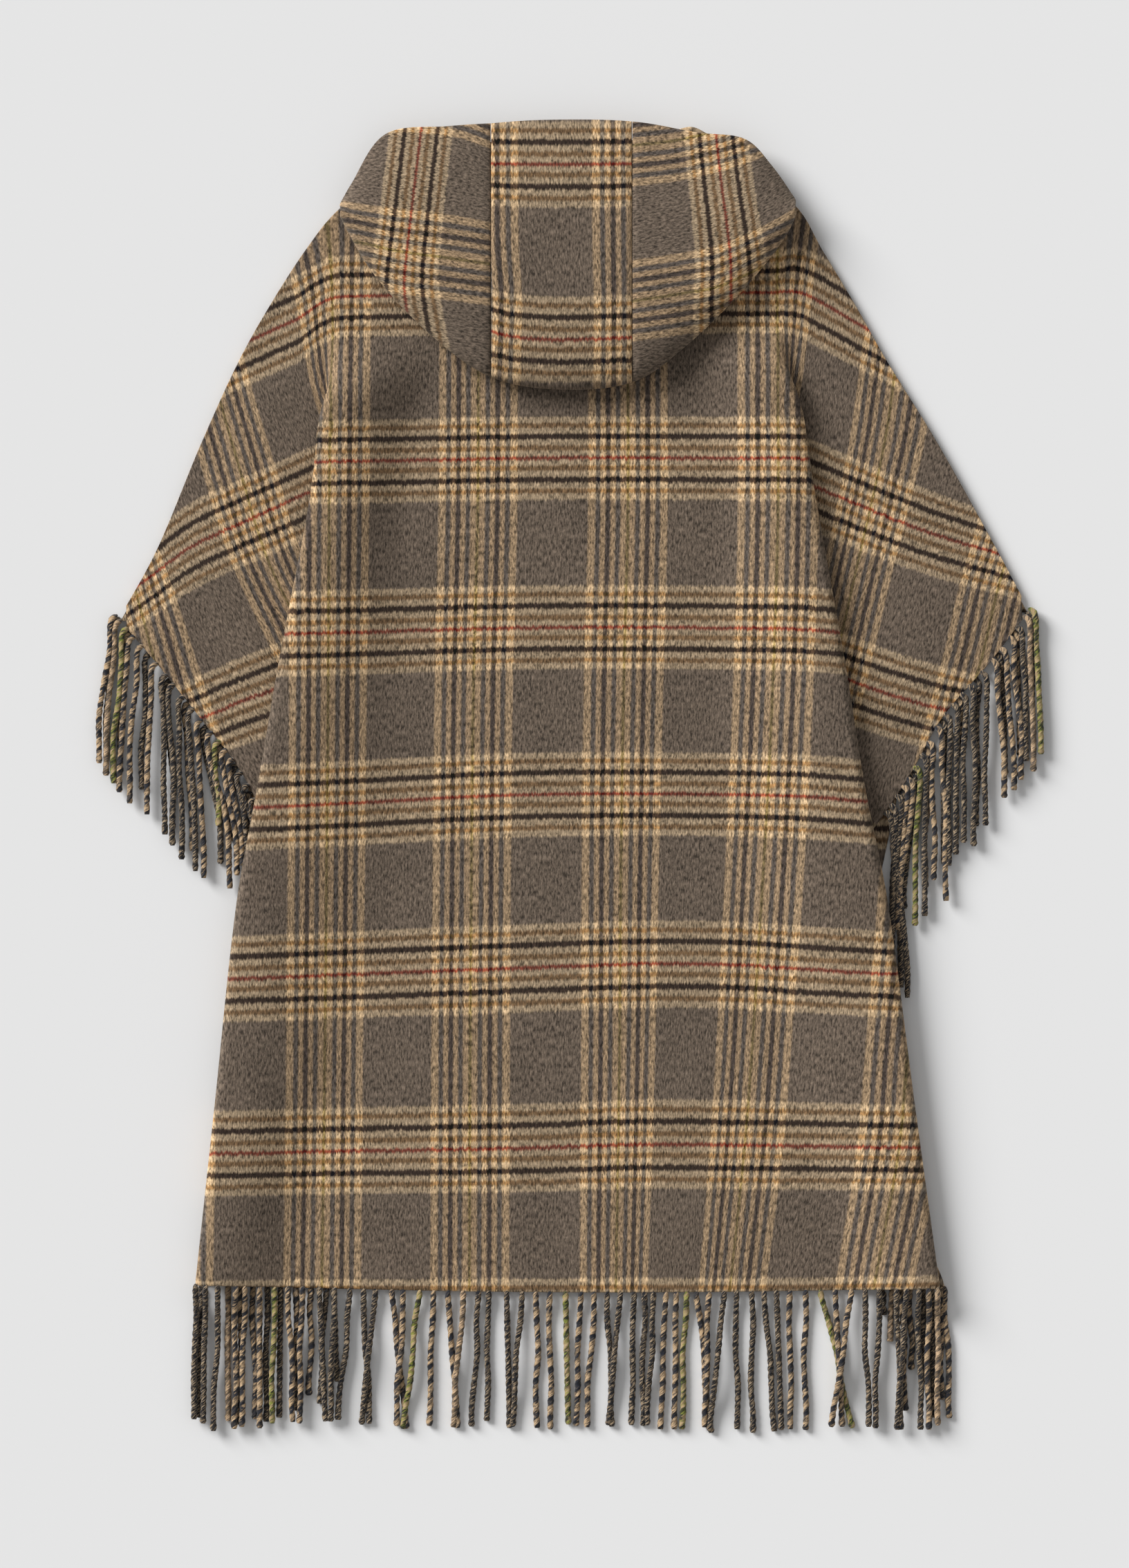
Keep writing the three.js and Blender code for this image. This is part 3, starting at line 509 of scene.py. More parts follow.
LEFT_WING_CHART = Chart(
    warps={
        -4: ((-30, 700), (0, 860), (25, 975)),
        -3: ((108, 540), (130, 640), (154, 720), (178, 797), (198, 860), (229, 975)),
        -2: ((284, 450), (313, 560), (349, 685), (373, 768), (396, 830), (452, 939)),
        -1: ((484, 450), (505, 560), (545, 685), (575, 790), (650, 939)),
    },
    wefts={
        0: ((364, 492), (427, 464), (479, 443.5), (526, 426), (560, 422)),
        1: ((180, 862), (220, 833), (278, 791), (338, 762), (387, 740), (447, 713), (480, 700)),
        2: ((235, 1062), (295, 1038), (341, 1018), (397, 997.5), (460, 975)),
    },
)
RIGHT_WING_CHART = Chart(
    warps={
        2: ((1120, 470), (1108, 560), (1088, 700), (1062, 850), (1040, 960)),
        3: ((1296, 527), (1279, 640), (1260, 729), (1239, 820), (1218, 912)),
        4: ((1508, 640), (1465, 778), (1443, 851), (1420, 949), (1396, 1035)),
        5: ((1690, 720), (1668, 800), (1640, 900)),
    },
    wefts={
        0: ((1100, 406), (1120, 410), (1181, 435), (1239, 468), (1290, 496)),
        1: ((1160, 698), (1184, 707), (1230, 726), (1304, 756), (1365, 778), (1426, 796)),
        2: ((1180, 966), (1233, 986), (1304, 1010), (1365, 1026), (1426, 1040)),
    },
)
HOOD_STRIP_CHART = Chart(
    warps={
        -1: ((466, 180), (466, 570)),
        0: ((690, 180), (691, 360), (696, 430), (693, 570)),
        1: ((916, 180), (917, 570)),
    },
    wefts={
        -1: ((708, -7), (913, -7)),
        0: ((708, 240), (808, 241), (913, 240)),
        1: ((708, 481), (740, 489), (808, 494), (913, 491)),
        2: ((708, 730), (913, 732)),
    },
)


class TurnedChart(Chart):
    """Chart of cloth that is cut a quarter turn round: its wefts stand and its warps lie."""

    def cloth(self, x: Array, y: Array) -> Array:
        """Place on the flat cloth, with the roles of x and y exchanged."""
        px, py = from_page(x, y)
        return self.read(py, px, x.shape)


def turned(
    warps: dict[int, Sequence[tuple[float, float]]],
    wefts: dict[int, Sequence[tuple[float, float]]],
) -> TurnedChart:
    """Chart whose warp lines run across the page and whose weft lines run down it.

    Args:
        warps: Pixels along each lying warp group, from left to right.
        wefts: Pixels along each standing weft line, from top to bottom.

    Returns:
        The chart.
    """
    swap = {k: [(y, x) for x, y in rows] for k, rows in warps.items()}
    stand = {k: [(y, x) for x, y in rows] for k, rows in wefts.items()}
    return TurnedChart(swap, stand)


HOOD_LEFT_CHART = turned(
    warps={
        -1: ((480, -110), (590, -95), (710, -68)),
        0: ((491, 150), (576, 133), (657, 139), (710, 158)),
        1: ((491, 343), (516, 351), (576, 366), (646, 376), (710, 385)),
        2: ((491, 545), (576, 585), (646, 600), (710, 612)),
    },
    wefts={
        -1: ((430, 180), (416, 285), (402, 362), (400, 460)),
        0: ((611, 180), (609, 197), (598.7, 285), (590, 362), (586, 412), (590, 447), (600, 500)),
        1: ((795, 180), (786, 285), (784, 362), (800, 460)),
    },
)
HOOD_RIGHT_CHART = turned(
    warps={
        -1: ((918, -10), (1000, -28), (1150, -80)),
        0: ((918, 213), (988, 204), (1104, 172), (1150, 150)),
        1: ((918, 438), (988, 427), (1040, 416), (1104, 385), (1150, 360)),
        2: ((918, 655), (988, 645), (1104, 600)),
    },
    wefts={
        -1: ((845, 180), (850, 270), (848, 383), (844, 460)),
        0: ((1034, 180), (1035.7, 203.8), (1042.8, 270.7), (1049.8, 323.6), (1055.8, 383.5), (1055, 440)),
        1: ((1215, 180), (1230, 270), (1260, 383), (1270, 460)),
    },
)


def linear(hex_colour: str) -> tuple[float, float, float, float]:
    """Linear colour of an sRGB hex value.

    Args:
        hex_colour: Such as "#61554A".

    Returns:
        Red, green, blue and an alpha of 1.
    """
    parts = [int(hex_colour[k : k + 2], 16) / 255 for k in (1, 3, 5)]
    flat = [c / 12.92 if c <= 0.04045 else ((c + 0.055) / 1.055) ** 2.4 for c in parts]
    return flat[0], flat[1], flat[2], 1.0


def add_node(
    tree: bpy.types.NodeTree,
    kind: str,
    settings: dict[str, object] | None = None,
    inputs: dict[str | int, object] | None = None,
) -> bpy.types.Node:
    """Add a node with its settings, values and links.

    Args:
        tree: Where it goes.
        kind: Blender's name of the node.
        settings: Properties of the node.
        inputs: A value or an output socket for each named input.

    Returns:
        The node.
    """
    node = tree.nodes.new(kind)
    for name, value in (settings or {}).items():
        setattr(node, name, value)
    for name, value in (inputs or {}).items():
        socket = node.inputs[name]
        if isinstance(value, bpy.types.NodeSocket):
            tree.links.new(value, socket)
        else:
            socket.default_value = value
    return node


def new_material(name: str) -> tuple[bpy.types.Material, bpy.types.NodeTree]:
    """Empty node material and its tree."""
    material = bpy.data.materials.new(name)
    material.use_nodes = True
    material.node_tree.nodes.clear()
    return material, material.node_tree


def calc(tree: bpy.types.NodeTree, operation: str, *values: object) -> Socket:
    """Result of a math node on values or sockets."""
    return add_node(tree, "ShaderNodeMath", {"operation": operation}, dict(enumerate(values))).outputs[0]


def calc_vector(tree: bpy.types.NodeTree, operation: str, *values: object) -> Socket:
    """Result of a vector math node on values or sockets."""
    return add_node(tree, "ShaderNodeVectorMath", {"operation": operation}, dict(enumerate(values))).outputs[0]


def scaled(tree: bpy.types.NodeTree, vector: Socket, factor: Socket | float) -> Socket:
    """Vector or colour times a factor."""
    return add_node(tree, "ShaderNodeVectorMath", {"operation": "SCALE"}, {0: vector, "Scale": factor}).outputs[0]


def blend(tree: bpy.types.NodeTree, kind: str, first: object, second: object, factor: object = 1.0) -> Socket:
    """Two colours worked into one."""
    settings = {"data_type": "RGBA", "blend_type": kind}
    return add_node(tree, "ShaderNodeMix", settings, {"Factor": factor, 6: first, 7: second}).outputs[2]


def remapped(tree: bpy.types.NodeTree, value: Socket, low: float, high: float, most: float = 1.0) -> Socket:
    """Value between low and high, spread from 0 to most."""
    inputs = {"Value": value, "From Min": low, "From Max": high, "To Max": most}
    return add_node(tree, "ShaderNodeMapRange", None, inputs).outputs[0]


def grains(tree: bpy.types.NodeTree, vector: Socket, rate: Sequence[float], detail: float) -> Socket:
    """Noise about a half, with a rate of grains along each axis."""
    place = calc_vector(tree, "MULTIPLY", vector, rate)
    inputs = {"Vector": place, "Scale": 1.0, "Detail": detail, "Roughness": 0.6}
    return add_node(tree, "ShaderNodeTexNoise", None, inputs).outputs["Fac"]


def attribute(tree: bpy.types.NodeTree, name: str, output: str) -> Socket:
    """Value that the mesh carries at each place."""
    return add_node(tree, "ShaderNodeAttribute", {"attribute_name": name}).outputs[output]


def surface(tree: bpy.types.NodeTree, values: dict[str, object]) -> None:
    """Principled surface, joined to the output."""
    shader = add_node(tree, "ShaderNodeBsdfPrincipled", None, values)
    add_node(tree, "ShaderNodeOutputMaterial", None, {"Surface": shader.outputs[0]})


def bump(tree: bpy.types.NodeTree, strength: float, depth: float, height: Socket) -> Socket:
    """Normal of a surface raised by a height."""
    values = {"Strength": strength, "Distance": depth * MM, "Height": height}
    return add_node(tree, "ShaderNodeBump", None, values).outputs[0]


@dataclass(frozen=True)
class BrushedPlaid:
    """Double-face wool, woven as a plaid and brushed to a soft nap that blurs the stripes."""

    name: str = "brushed_wool_plaid"
    ground: str = "#61554A"
    warp_bands: tuple[tuple[float, str], ...] = (
        (1.3, "#645639"),
        (6.4, "#8F785E"),
        (10.6, "#524A44"),
        (14.9, "#8F785E"),
        (19.3, "#443B36"),
        (23.7, "#8F785E"),
        (28.0, "#524A44"),
        (34.2, "#937C61"),
    )
    weft_bands: tuple[tuple[float, str], ...] = (
        (1.7, "#6A3529"),
        (6.6, "#948169"),
        (11.3, "#6A533B"),
        (16.6, "#948169"),
        (21.8, "#30251F"),
        (27.0, "#948169"),
        (31.4, "#6A533B"),
        (36.9, "#948169"),
    )
    warp_blur: float = 0.8
    weft_blur: float = 1.0
    fray: Grain = (1.3, 3.2, 2.0)
    teeth: Grain = (1.5, 16.0, 1.0)
    drift: Grain = (7.0, 9.0, 1.0)
    fibre: Grain = (1.4, 5.0, 3.0)  # tufts, wider than a real fibre's 0.02 mm so that the mottling shows
    speck: Grain = (2.3, 5.0, 2.0)
    mottle: Grain = (38.0, 55.0, 2.0)
    fray_reach: float = 2.6
    teeth_reach: float = 5.4
    drift_reach: tuple[float, float] = (0.9, 1.0)
    tone_weights: tuple[float, float, float] = (4.0, 2.0, 0.5)
    tone_floor: float = 0.3
    crossing_limit: float = 1.15
    nap_height: float = 0.9
    nap_strength: float = 0.55

    def ramp(
        self,
        tree: bpy.types.NodeTree,
        place: bpy.types.NodeSocket,
        repeat: float,
        bands: Sequence[tuple[float, str]],
        blur: float,
    ) -> bpy.types.NodeSocket:
        """Colour of one set of stripes on the ground colour.

        Args:
            tree: The material's tree.
            place: Millimetres across the stripes.
            repeat: Millimetres from one set's middle to the next.
            bands: Outer edge of each band from the middle, and its colour.
            blur: Half the width over which one band passes into the next.

        Returns:
            The colour.
        """
        half = repeat / 2
        share = calc(tree, "DIVIDE", calc(tree, "PINGPONG", place, half), half)
        node = add_node(tree, "ShaderNodeValToRGB", None, {0: share})
        stops = node.color_ramp
        stops.elements[0].color = linear(bands[0][1])
        stops.elements[0].position = 0.0
        stops.elements[1].color = linear(self.ground)
        stops.elements[1].position = 1.0
        for index, (edge, colour) in enumerate(bands):
            following = bands[index + 1][1] if index + 1 < len(bands) else self.ground
            stops.elements.new((edge - blur) / half).color = linear(colour)
            stops.elements.new((edge + blur) / half).color = linear(following)
        return node.outputs["Color"]

    def make(self) -> bpy.types.Material:
        """Build the material.

        Returns:
            The finished material.
        """
        material, tree = new_material(self.name)
        cloth = attribute(tree, "cloth_mm", "Vector")
        axes = add_node(tree, "ShaderNodeSeparateXYZ", None, {0: cloth}).outputs
        teeth, drift, fray, fibre, speck, mottle = (
            grains(tree, cloth, (1 / width, 1 / length, 1.0), detail)
            for width, length, detail in (self.teeth, self.drift, self.fray, self.fibre, self.speck, self.mottle)
        )

        def shifted(place: Socket, noise: Socket, reach: float) -> Socket:
            """Place moved to and fro by a noise, so that a stripe's edge is ragged."""
            return calc(tree, "MULTIPLY_ADD", calc(tree, "SUBTRACT", noise, 0.5), reach, place)

        across = shifted(shifted(axes["X"], fray, self.fray_reach), drift, self.drift_reach[0])
        down = shifted(shifted(axes["Y"], teeth, self.teeth_reach), drift, self.drift_reach[1])
        warp = self.ramp(tree, across, WARP_REPEAT, self.warp_bands, self.warp_blur)
        weft = self.ramp(tree, down, WEFT_REPEAT, self.weft_bands, self.weft_blur)
        ground = linear(self.ground)
        cross = blend(tree, "DIVIDE", blend(tree, "MULTIPLY", warp, weft), ground)
        lit = calc_vector(tree, "SUBTRACT", calc_vector(tree, "ADD", warp, weft), ground[:3])
        woven = calc_vector(tree, "MINIMUM", cross, scaled(tree, lit, self.crossing_limit))
        tone: Socket | float = 1.0 - 0.5 * sum(self.tone_weights)
        for noise, weight in zip((fibre, speck, mottle), self.tone_weights):
            tone = calc(tree, "MULTIPLY_ADD", noise, weight, tone)
        values = {
            "Base Color": scaled(tree, woven, calc(tree, "MAXIMUM", tone, self.tone_floor)),
            "Roughness": 0.95,
            "Specular IOR Level": 0.15,
            "Sheen Weight": 0.22,
            "Sheen Roughness": 0.55,
            "Sheen Tint": linear("#D8C8B0"),
            "Normal": bump(tree, self.nap_strength, self.nap_height, calc(tree, "ADD", fibre, speck)),
        }
        surface(tree, values)
        return material


@dataclass(frozen=True)
class TwistedYarn:
    """Loose two-ply woollen yarn: two shades wind round each other, with stray light fibres."""

    name: str = "twisted_wool_yarn"
    wander: float = 9.0
    patch_rate: Grain = (0.55, 0.11, 1.0)
    fibre_rate: Grain = (1.5, 0.24, 1.0)
    fibre_detail: float = 2.0
    ply_blur: float = 0.35
    stray_from: float = 0.5
    stray_to: float = 0.58
    stray_most: float = 0.82
    hair_height: float = 1.4
    bump_strength: float = 0.6
    bump_depth: float = 0.9

    def make(self) -> bpy.types.Material:
        """Build the material.

        Returns:
            The finished material.
        """
        material, tree = new_material(self.name)
        place = attribute(tree, "yarn_mm", "Vector")
        first, second, stray = (attribute(tree, name, "Color") for name in PLY_LAYERS)
        axes = add_node(tree, "ShaderNodeSeparateXYZ", None, {0: place}).outputs
        turn = calc(tree, "MULTIPLY_ADD", axes["Y"], 2 * math.pi / YARN_PITCH, axes["X"])
        ends = {"X": turn, "Y": axes["Y"], "Z": axes["Z"]}
        wound = add_node(tree, "ShaderNodeCombineXYZ", None, ends).outputs[0]
        patches = grains(tree, wound, self.patch_rate, self.fibre_detail)
        fibres = grains(tree, wound, self.fibre_rate, self.fibre_detail)
        wander = calc(tree, "MULTIPLY_ADD", patches, self.wander, -self.wander / 2)
        wave = calc(tree, "SINE", turn)
        share = remapped(tree, calc(tree, "ADD", wave, wander), -self.ply_blur, self.ply_blur)
        shown = remapped(tree, fibres, self.stray_from, self.stray_to, self.stray_most)
        hairs = calc(tree, "MULTIPLY", fibres, self.hair_height)
        height = calc(tree, "ADD", calc(tree, "ABSOLUTE", wave), hairs)
        values = {
            "Base Color": blend(tree, "MIX", blend(tree, "MIX", first, second, share), stray, shown),
            "Roughness": 0.95,
            "Specular IOR Level": 0.12,
            "Sheen Weight": 0.2,
            "Sheen Roughness": 0.5,
            "Normal": bump(tree, self.bump_strength, self.bump_depth, height),
        }
        surface(tree, values)
        return material


@dataclass(frozen=True)
class StudioPaper:
    """Smooth matt backdrop paper under the cape."""

    name: str = "studio_paper"
    colour: str = "#E6E6E6"

    def make(self) -> bpy.types.Material:
        """Build the material.

        Returns:
            The finished material.
        """
        material, tree = new_material(self.name)
        surface(tree, {"Base Color": linear(self.colour), "Roughness": 0.9, "Specular IOR Level": 0.1})
        return material


def mesh_of(bm: bmesh.types.BMesh, name: str) -> bpy.types.Mesh:
    """Mesh of a finished bmesh, which is freed."""
    mesh = bpy.data.meshes.new(name)
    bm.to_mesh(mesh)
    bm.free()
    return mesh


def store(mesh: bpy.types.Mesh, name: str, values: Array, kind: str = "FLOAT_VECTOR", field: str = "vector") -> None:
    """Keep a vector or a colour at each vertex."""
    mesh.attributes.new(name, kind, "POINT").data.foreach_set(field, values.ravel())


def finish_object(name: str, mesh: bpy.types.Mesh, material: bpy.types.Material) -> bpy.types.Object:
    """Make an object of a mesh, smooth it and let it ride on the cape's one body.

    Args:
        name: The piece's name.
        mesh: Its mesh, in place.
        material: Its finish.

    Returns:
        The object.
    """
    mesh.materials.append(material)
    mesh.polygons.foreach_set("use_smooth", [True] * len(mesh.polygons))
    piece = bpy.data.objects.new(name, mesh)
    bpy.context.scene.collection.objects.link(piece)
    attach(piece, "root")
    return piece


class Cloth:
    """A thin sheet of wool, laid as a grid of lines and given its thickness."""

    def __init__(self, name: str, lines: Array, cloth_mm: Array, fullness: Array) -> None:
        """Keep the grid.

        Args:
            name: The piece's name.
            lines: Points in the middle of the cloth, by line and row.
            cloth_mm: Place of each point on the flat cloth.
            fullness: Share of the cloth's thickness at each point, less at a rounded edge.
        """
        self.name = name
        self.lines = lines
        self.cloth_mm = cloth_mm
        self.fullness = fullness

    def build(self, material: bpy.types.Material) -> bpy.types.Object:
        """Lay the grid on its form and give it thickness.

        Args:
            material: The wool.

        Returns:
            The object.
        """
        across, down = self.lines.shape[0] - 1, self.lines.shape[1] - 1
        bm = bmesh.new()
        bmesh.ops.create_grid(bm, x_segments=across, y_segments=down, size=1.0)
        places = [
            (round((vert.co.x + 1) * across / 2), round((1 - vert.co.y) * down / 2)) for vert in bm.verts
        ]
        for vert, (i, j) in zip(bm.verts, places):
            vert.co = Vector(self.lines[i, j]) * MM
        mesh = mesh_of(bm, self.name)
        index = np.asarray(places)
        flat = np.zeros((len(places), 3))
        flat[:, :2] = self.cloth_mm[index[:, 0], index[:, 1]]
        store(mesh, "cloth_mm", flat)
        piece = finish_object(self.name, mesh, material)
        group = piece.vertex_groups.new(name="fullness")
        for number, (i, j) in enumerate(places):
            group.add([number], float(self.fullness[i, j]), "REPLACE")
        wall = piece.modifiers.new("thickness", "SOLIDIFY")
        wall.thickness = CLOTH * MM
        wall.offset = 0.0
        wall.use_even_offset = False
        wall.use_quality_normals = True
        wall.vertex_group = "fullness"
        wall.thickness_vertex_group = 0.0
        return piece


def rounding(count: int, first: bool = True, last: bool = True) -> Array:
    """Fullness along a row of grid lines whose ends are rounded edges.

    Args:
        count: Number of grid lines.
        first: Whether the first line is an edge.
        last: Whether the last line is an edge.

    Returns:
        The share of the thickness at each line.
    """
    full = np.ones(count)
    if first:
        full[: len(RIM_SHARES)] = RIM_SHARES
    if last:
        full[-len(RIM_SHARES) :] = RIM_SHARES[::-1]
    return full


def edged(count: int, length: float, first: bool = True, last: bool = True) -> Array:
    """Shares of the way along a row, with a few close together at each rounded edge.

    Args:
        count: Number of shares.
        length: Rough length of the row in millimetres.
        first: Whether the start is an edge.
        last: Whether the end is an edge.

    Returns:
        The shares, from 0 to 1.
    """
    close = np.array(RIM_PLACES) / length
    head = close if first else np.array([])
    tail = 1 - close[::-1] if last else np.array([])
    start = RIM_WIDTH / length if first else 0.0
    end = 1 - RIM_WIDTH / length if last else 1.0
    return np.concatenate([head, np.linspace(start, end, count - len(head) - len(tail)), tail])


@dataclass
class Back:
    """The back with both wings, one cut of cloth with a deep pleat on each side."""

    wing_lines: int = 54
    centre_lines: int = 118
    rows: int = 158
    wing_width: float = 250.0
    length: float = 900.0
    head_stops: int = 501
    neck_steepness: float = 1.6
    pleat_pull: float = 0.72
    fold_blend: float = 2.2
    side_calm: float = 0.12
    sway: float = 1.7
    swell_share: float = 0.28
    swells: tuple[tuple[float, float, float, float], ...] = (  # weight, millimetres across and along, phase
        (1.0, 31.0, 210.0, 0.6), (0.7, 53.0, -95.0, 2.1), (0.5, 90.0, 61.0, 0.0),
    )
    hood_calm: tuple[float, float] = (335.0, 60.0)  # where the swells begin below the hood, and over what way
    hem_calm: tuple[float, float] = (452.0, 40.0)
    hem_least: float = 0.35

    def top_y(self, x: float) -> float:
        """Upper end of a line of the middle of the back."""
        if x < LEFT.neck_corner[0]:
            return float(LEFT.edge_y(x))
        if x > RIGHT.neck_corner[0]:
            return float(RIGHT.edge_y(x))
        share = (x - LEFT.neck_corner[0]) / (RIGHT.neck_corner[0] - LEFT.neck_corner[0])
        corner = mix(LEFT.neck_corner[1], RIGHT.neck_corner[1], share)
        dip = NECK_Y - NECK_DIP * math.sin(math.pi * share)
        return float(mix(corner, dip, smooth(math.sin(math.pi * share) * self.neck_steepness)))

    def waves(self, x: Array, y: Array) -> Array:
        """Low swells of the cloth where nothing lies on it.

        Args:
            x: Places across.
            y: Places along.

        Returns:
            Height to add, never negative.
        """
        swell = sum(weight * np.sin(x / across + y / along + phase) for weight, across, along, phase in self.swells)
        clear = smooth((self.hood_calm[0] - y) / self.hood_calm[1])
        hem = smooth((y + self.hem_calm[0]) / self.hem_calm[1])
        return self.sway * clamp01(0.5 + self.swell_share * swell) * clear * mix(self.hem_least, 1.0, hem)

    def wing(self, side: Side, rows: Array) -> tuple[Array, Array]:
        """Lines of one wing from its tip to the pleat.

        Args:
            side: Which wing.
            rows: Shares of the way down.

        Returns:
            The points and their places on the flat cloth.
        """
        stop_y = float(side.edge_y(side.shoulder_x(side.shoulder[1] + HEAD_RISE)))
        over = side.over_curve
        stops = np.linspace(1, 0, self.head_stops)
        reach = 1 - float(stops[np.argmax(over.at(stops)[:, 1] >= stop_y)])
        lines = []
        for share in WING_TIP_SHARE + (1 - WING_TIP_SHARE) * edged(self.wing_lines, self.wing_width, True, False):
            head = over.at(1 - reach * share)
            foot = side.edge_curve.at(share)
            y = side.row_y(head[1], foot[1], rows)
            x = mix(head[0], foot[0], (head[1] - y) / (head[1] - foot[1]))
            last_head, last_foot = over.at(1 - reach), side.edge_curve.at(1.0)
            straight = mix(last_head[0], last_foot[0], (last_head[1] - y) / (last_head[1] - last_foot[1]))
            x = x + (side.pleat_start(y) - straight) * smooth((share - self.pleat_pull) / (1 - self.pleat_pull))
            lines.append(np.stack([x, y, side.wing_z(x, y)], -1))
        points = np.stack(lines)
        x, y = points[..., 0], points[..., 1]
        near = side.body_share(x, y) * (1 - side.open_share(y))
        flat = mix(side.chart.cloth(x, y), BODY_CHART.cloth(x, y), near[..., None])
        return points, flat

    def pleat(self, side: Side, rows: Array) -> tuple[Array, Array]:
        """Lines across one pleat, from the wing to the top layer.

        Args:
            side: Which pleat.
            rows: Shares of the way down.

        Returns:
            The points and their places on the flat cloth.
        """
        lines, flats = [], []
        steps = len(side.turns)
        head = np.array([side.shoulder[1] + HEAD_RISE])
        for count in range(1, steps + 1):
            head_y = float(side.edge_y(side.pleat_point(head, count)[0, 0]))
            foot_y = float(mix(side.seam_top[1], side.hem_corner[1], side.feet[count - 1]))
            y = side.row_y(head_y, foot_y, rows)
            points = side.pleat_point(y, count)
            lines.append(points)
            x = points[:, 0]
            folded = smooth((count - 1) / (steps - 1) * self.fold_blend)
            near = mix(side.body_share(x, y), folded, side.open_share(y))
            flats.append(mix(side.chart.cloth(x, y), BODY_CHART.cloth(x, y), near[:, None]))
        return np.stack(lines), np.stack(flats)

    def centre(self, rows: Array) -> tuple[Array, Array]:
        """Lines of the middle of the back, between the two pleats.

        Args:
            rows: Shares of the way down.

        Returns:
            The points and their places on the flat cloth.
        """
        steps = len(LEFT.turns)
        lines = []
        for share in np.arange(1, self.centre_lines) / self.centre_lines:
            side = LEFT if share < 0.5 else RIGHT

            def x_at(y: Array, share: float = float(share)) -> Array:
                """X of the line at y."""
                return mix(LEFT.pleat_point(y, steps)[..., 0], RIGHT.pleat_point(y, steps)[..., 0], share)

            head_x = float(x_at(np.array([side.shoulder[1] + HEAD_RISE]))[0])
            foot_y = float(hem_y(mix(LEFT.hem_corner[0], RIGHT.hem_corner[0], share)))
            y = side.row_y(self.top_y(head_x), foot_y, rows)
            x = x_at(y)
            lines.append(np.stack([x, y, back_z(x, y)], -1))
        points = np.stack(lines)
        x, y = points[..., 0], points[..., 1]
        flat = BODY_CHART.cloth(x, y)
        for side in (LEFT, RIGHT):
            near = np.maximum(side.body_share(x, y), side.open_share(y))
            flat = mix(side.chart.cloth(x, y), flat, near[..., None])
        share = (np.arange(1, self.centre_lines) / self.centre_lines)[:, None]
        calm = smooth(share / self.side_calm) * smooth((1 - share) / self.side_calm)
        points[..., 2] += self.waves(x, y) * calm
        return points, flat

    def build(self, material: bpy.types.Material) -> bpy.types.Object:
        """Make the back.

        Args:
            material: The wool.

        Returns:
            The object.
        """
        rows = edged(self.rows, self.length)
        left_wing, right_wing = self.wing(LEFT, rows), self.wing(RIGHT, rows)
        left_pleat, right_pleat = self.pleat(LEFT, rows), self.pleat(RIGHT, rows)
        middle = self.centre(rows)
        order = [left_wing, left_pleat, middle, [a[::-1] for a in right_pleat], [a[::-1] for a in right_wing]]
        lines = np.concatenate([part[0] for part in order])
        flat = np.concatenate([part[1] for part in order])
        full = rounding(lines.shape[0])[:, None] * rounding(lines.shape[1])[None, :]
        piece = Cloth("cloth_back", lines, flat, full).build(material)
        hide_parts("back")
        return piece


@dataclass
class Front:
    """One open front, flat on the surface under the back."""

    side: Side
    name: str
    node: str
    hem_end: float
    neck_x: float
    peek: float = 0.0
    inset: float = 1.5
    wing_part: tuple[float, float] = (0.02, 0.62)
    flare: float = 40.0
    fine_rows: float = 44.0
    neck_y: tuple[float, float] = (402.0, 530.0)
    bevel: float = 1.0
    cloth_corner: tuple[float, float] = (60.0, 420.0)

    def outline(self) -> list[tuple[float, float]]:
        """Edge of the front, seen from above.

        Returns:
            The points in order round the edge.
        """
        side, inset = self.side, self.inset
        s = side.sign
        points = [(p[0] - s * inset, p[1] - inset) for p in side.over_curve.at(np.linspace(0, 1, 60))]
        wing = side.edge_curve.at(np.linspace(*self.wing_part, 30))
        points += [(p[0] - s * inset * 2, p[1] + inset * 2) for p in wing]
        seam_y = side.seam_top[1]
        points.append((float(side.fold_x(seam_y)) - s * inset * 4, seam_y))
        hem = side.hem_corner[1]
        fine = hem + self.fine_rows
        for y in np.append(np.linspace(seam_y, fine, 10, endpoint=False)[1:], np.linspace(fine, hem, 8)):
            out = self.peek * float(smooth((hem + self.flare - y) / self.flare))
            points.append((float(side.fold_x(y)) + s * (out - inset * 2), float(y)))
        for x in np.linspace(side.hem_corner[0] - s * inset * 2, self.hem_end, 12):
            points.append((float(x), float(hem_y(x))))
        return points + [(self.neck_x, y) for y in self.neck_y]

    def build(self, material: bpy.types.Material) -> bpy.types.Object:
        """Make the front as a flat cut of cloth with rounded edges.

        Args:
            material: The wool.

        Returns:
            The object.
        """
        bm = bmesh.new()
        corners = [bm.verts.new((x * MM, y * MM, 0.0)) for x, y in self.outline()]
        face = bm.faces.new(corners)
        raised = bmesh.ops.extrude_face_region(bm, geom=[face])
        top = [item for item in raised["geom"] if isinstance(item, bmesh.types.BMVert)]
        bmesh.ops.translate(bm, vec=(0.0, 0.0, CLOTH * MM), verts=top)
        bmesh.ops.recalc_face_normals(bm, faces=bm.faces[:])
        rims = [e for e in bm.edges if abs(e.verts[0].co.z - e.verts[1].co.z) < 1e-6]
        bmesh.ops.bevel(
            bm,
            geom=rims,
            offset=self.bevel * MM,
            segments=3,
            profile=0.5,
            affect="EDGES",
            material=-1,
            clamp_overlap=True,
        )
        bmesh.ops.triangulate(bm, faces=[f for f in bm.faces if len(f.verts) > 4])
        mesh = mesh_of(bm, self.name)
        at = np.array([vert.co[:] for vert in mesh.vertices]) / MM
        flat = np.zeros_like(at)
        flat[:, 0] = at[:, 0] + self.cloth_corner[0]
        flat[:, 1] = self.cloth_corner[1] - at[:, 1]
        store(mesh, "cloth_mm", flat)
        piece = finish_object(self.name, mesh, material)
        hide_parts(self.node)
        return piece


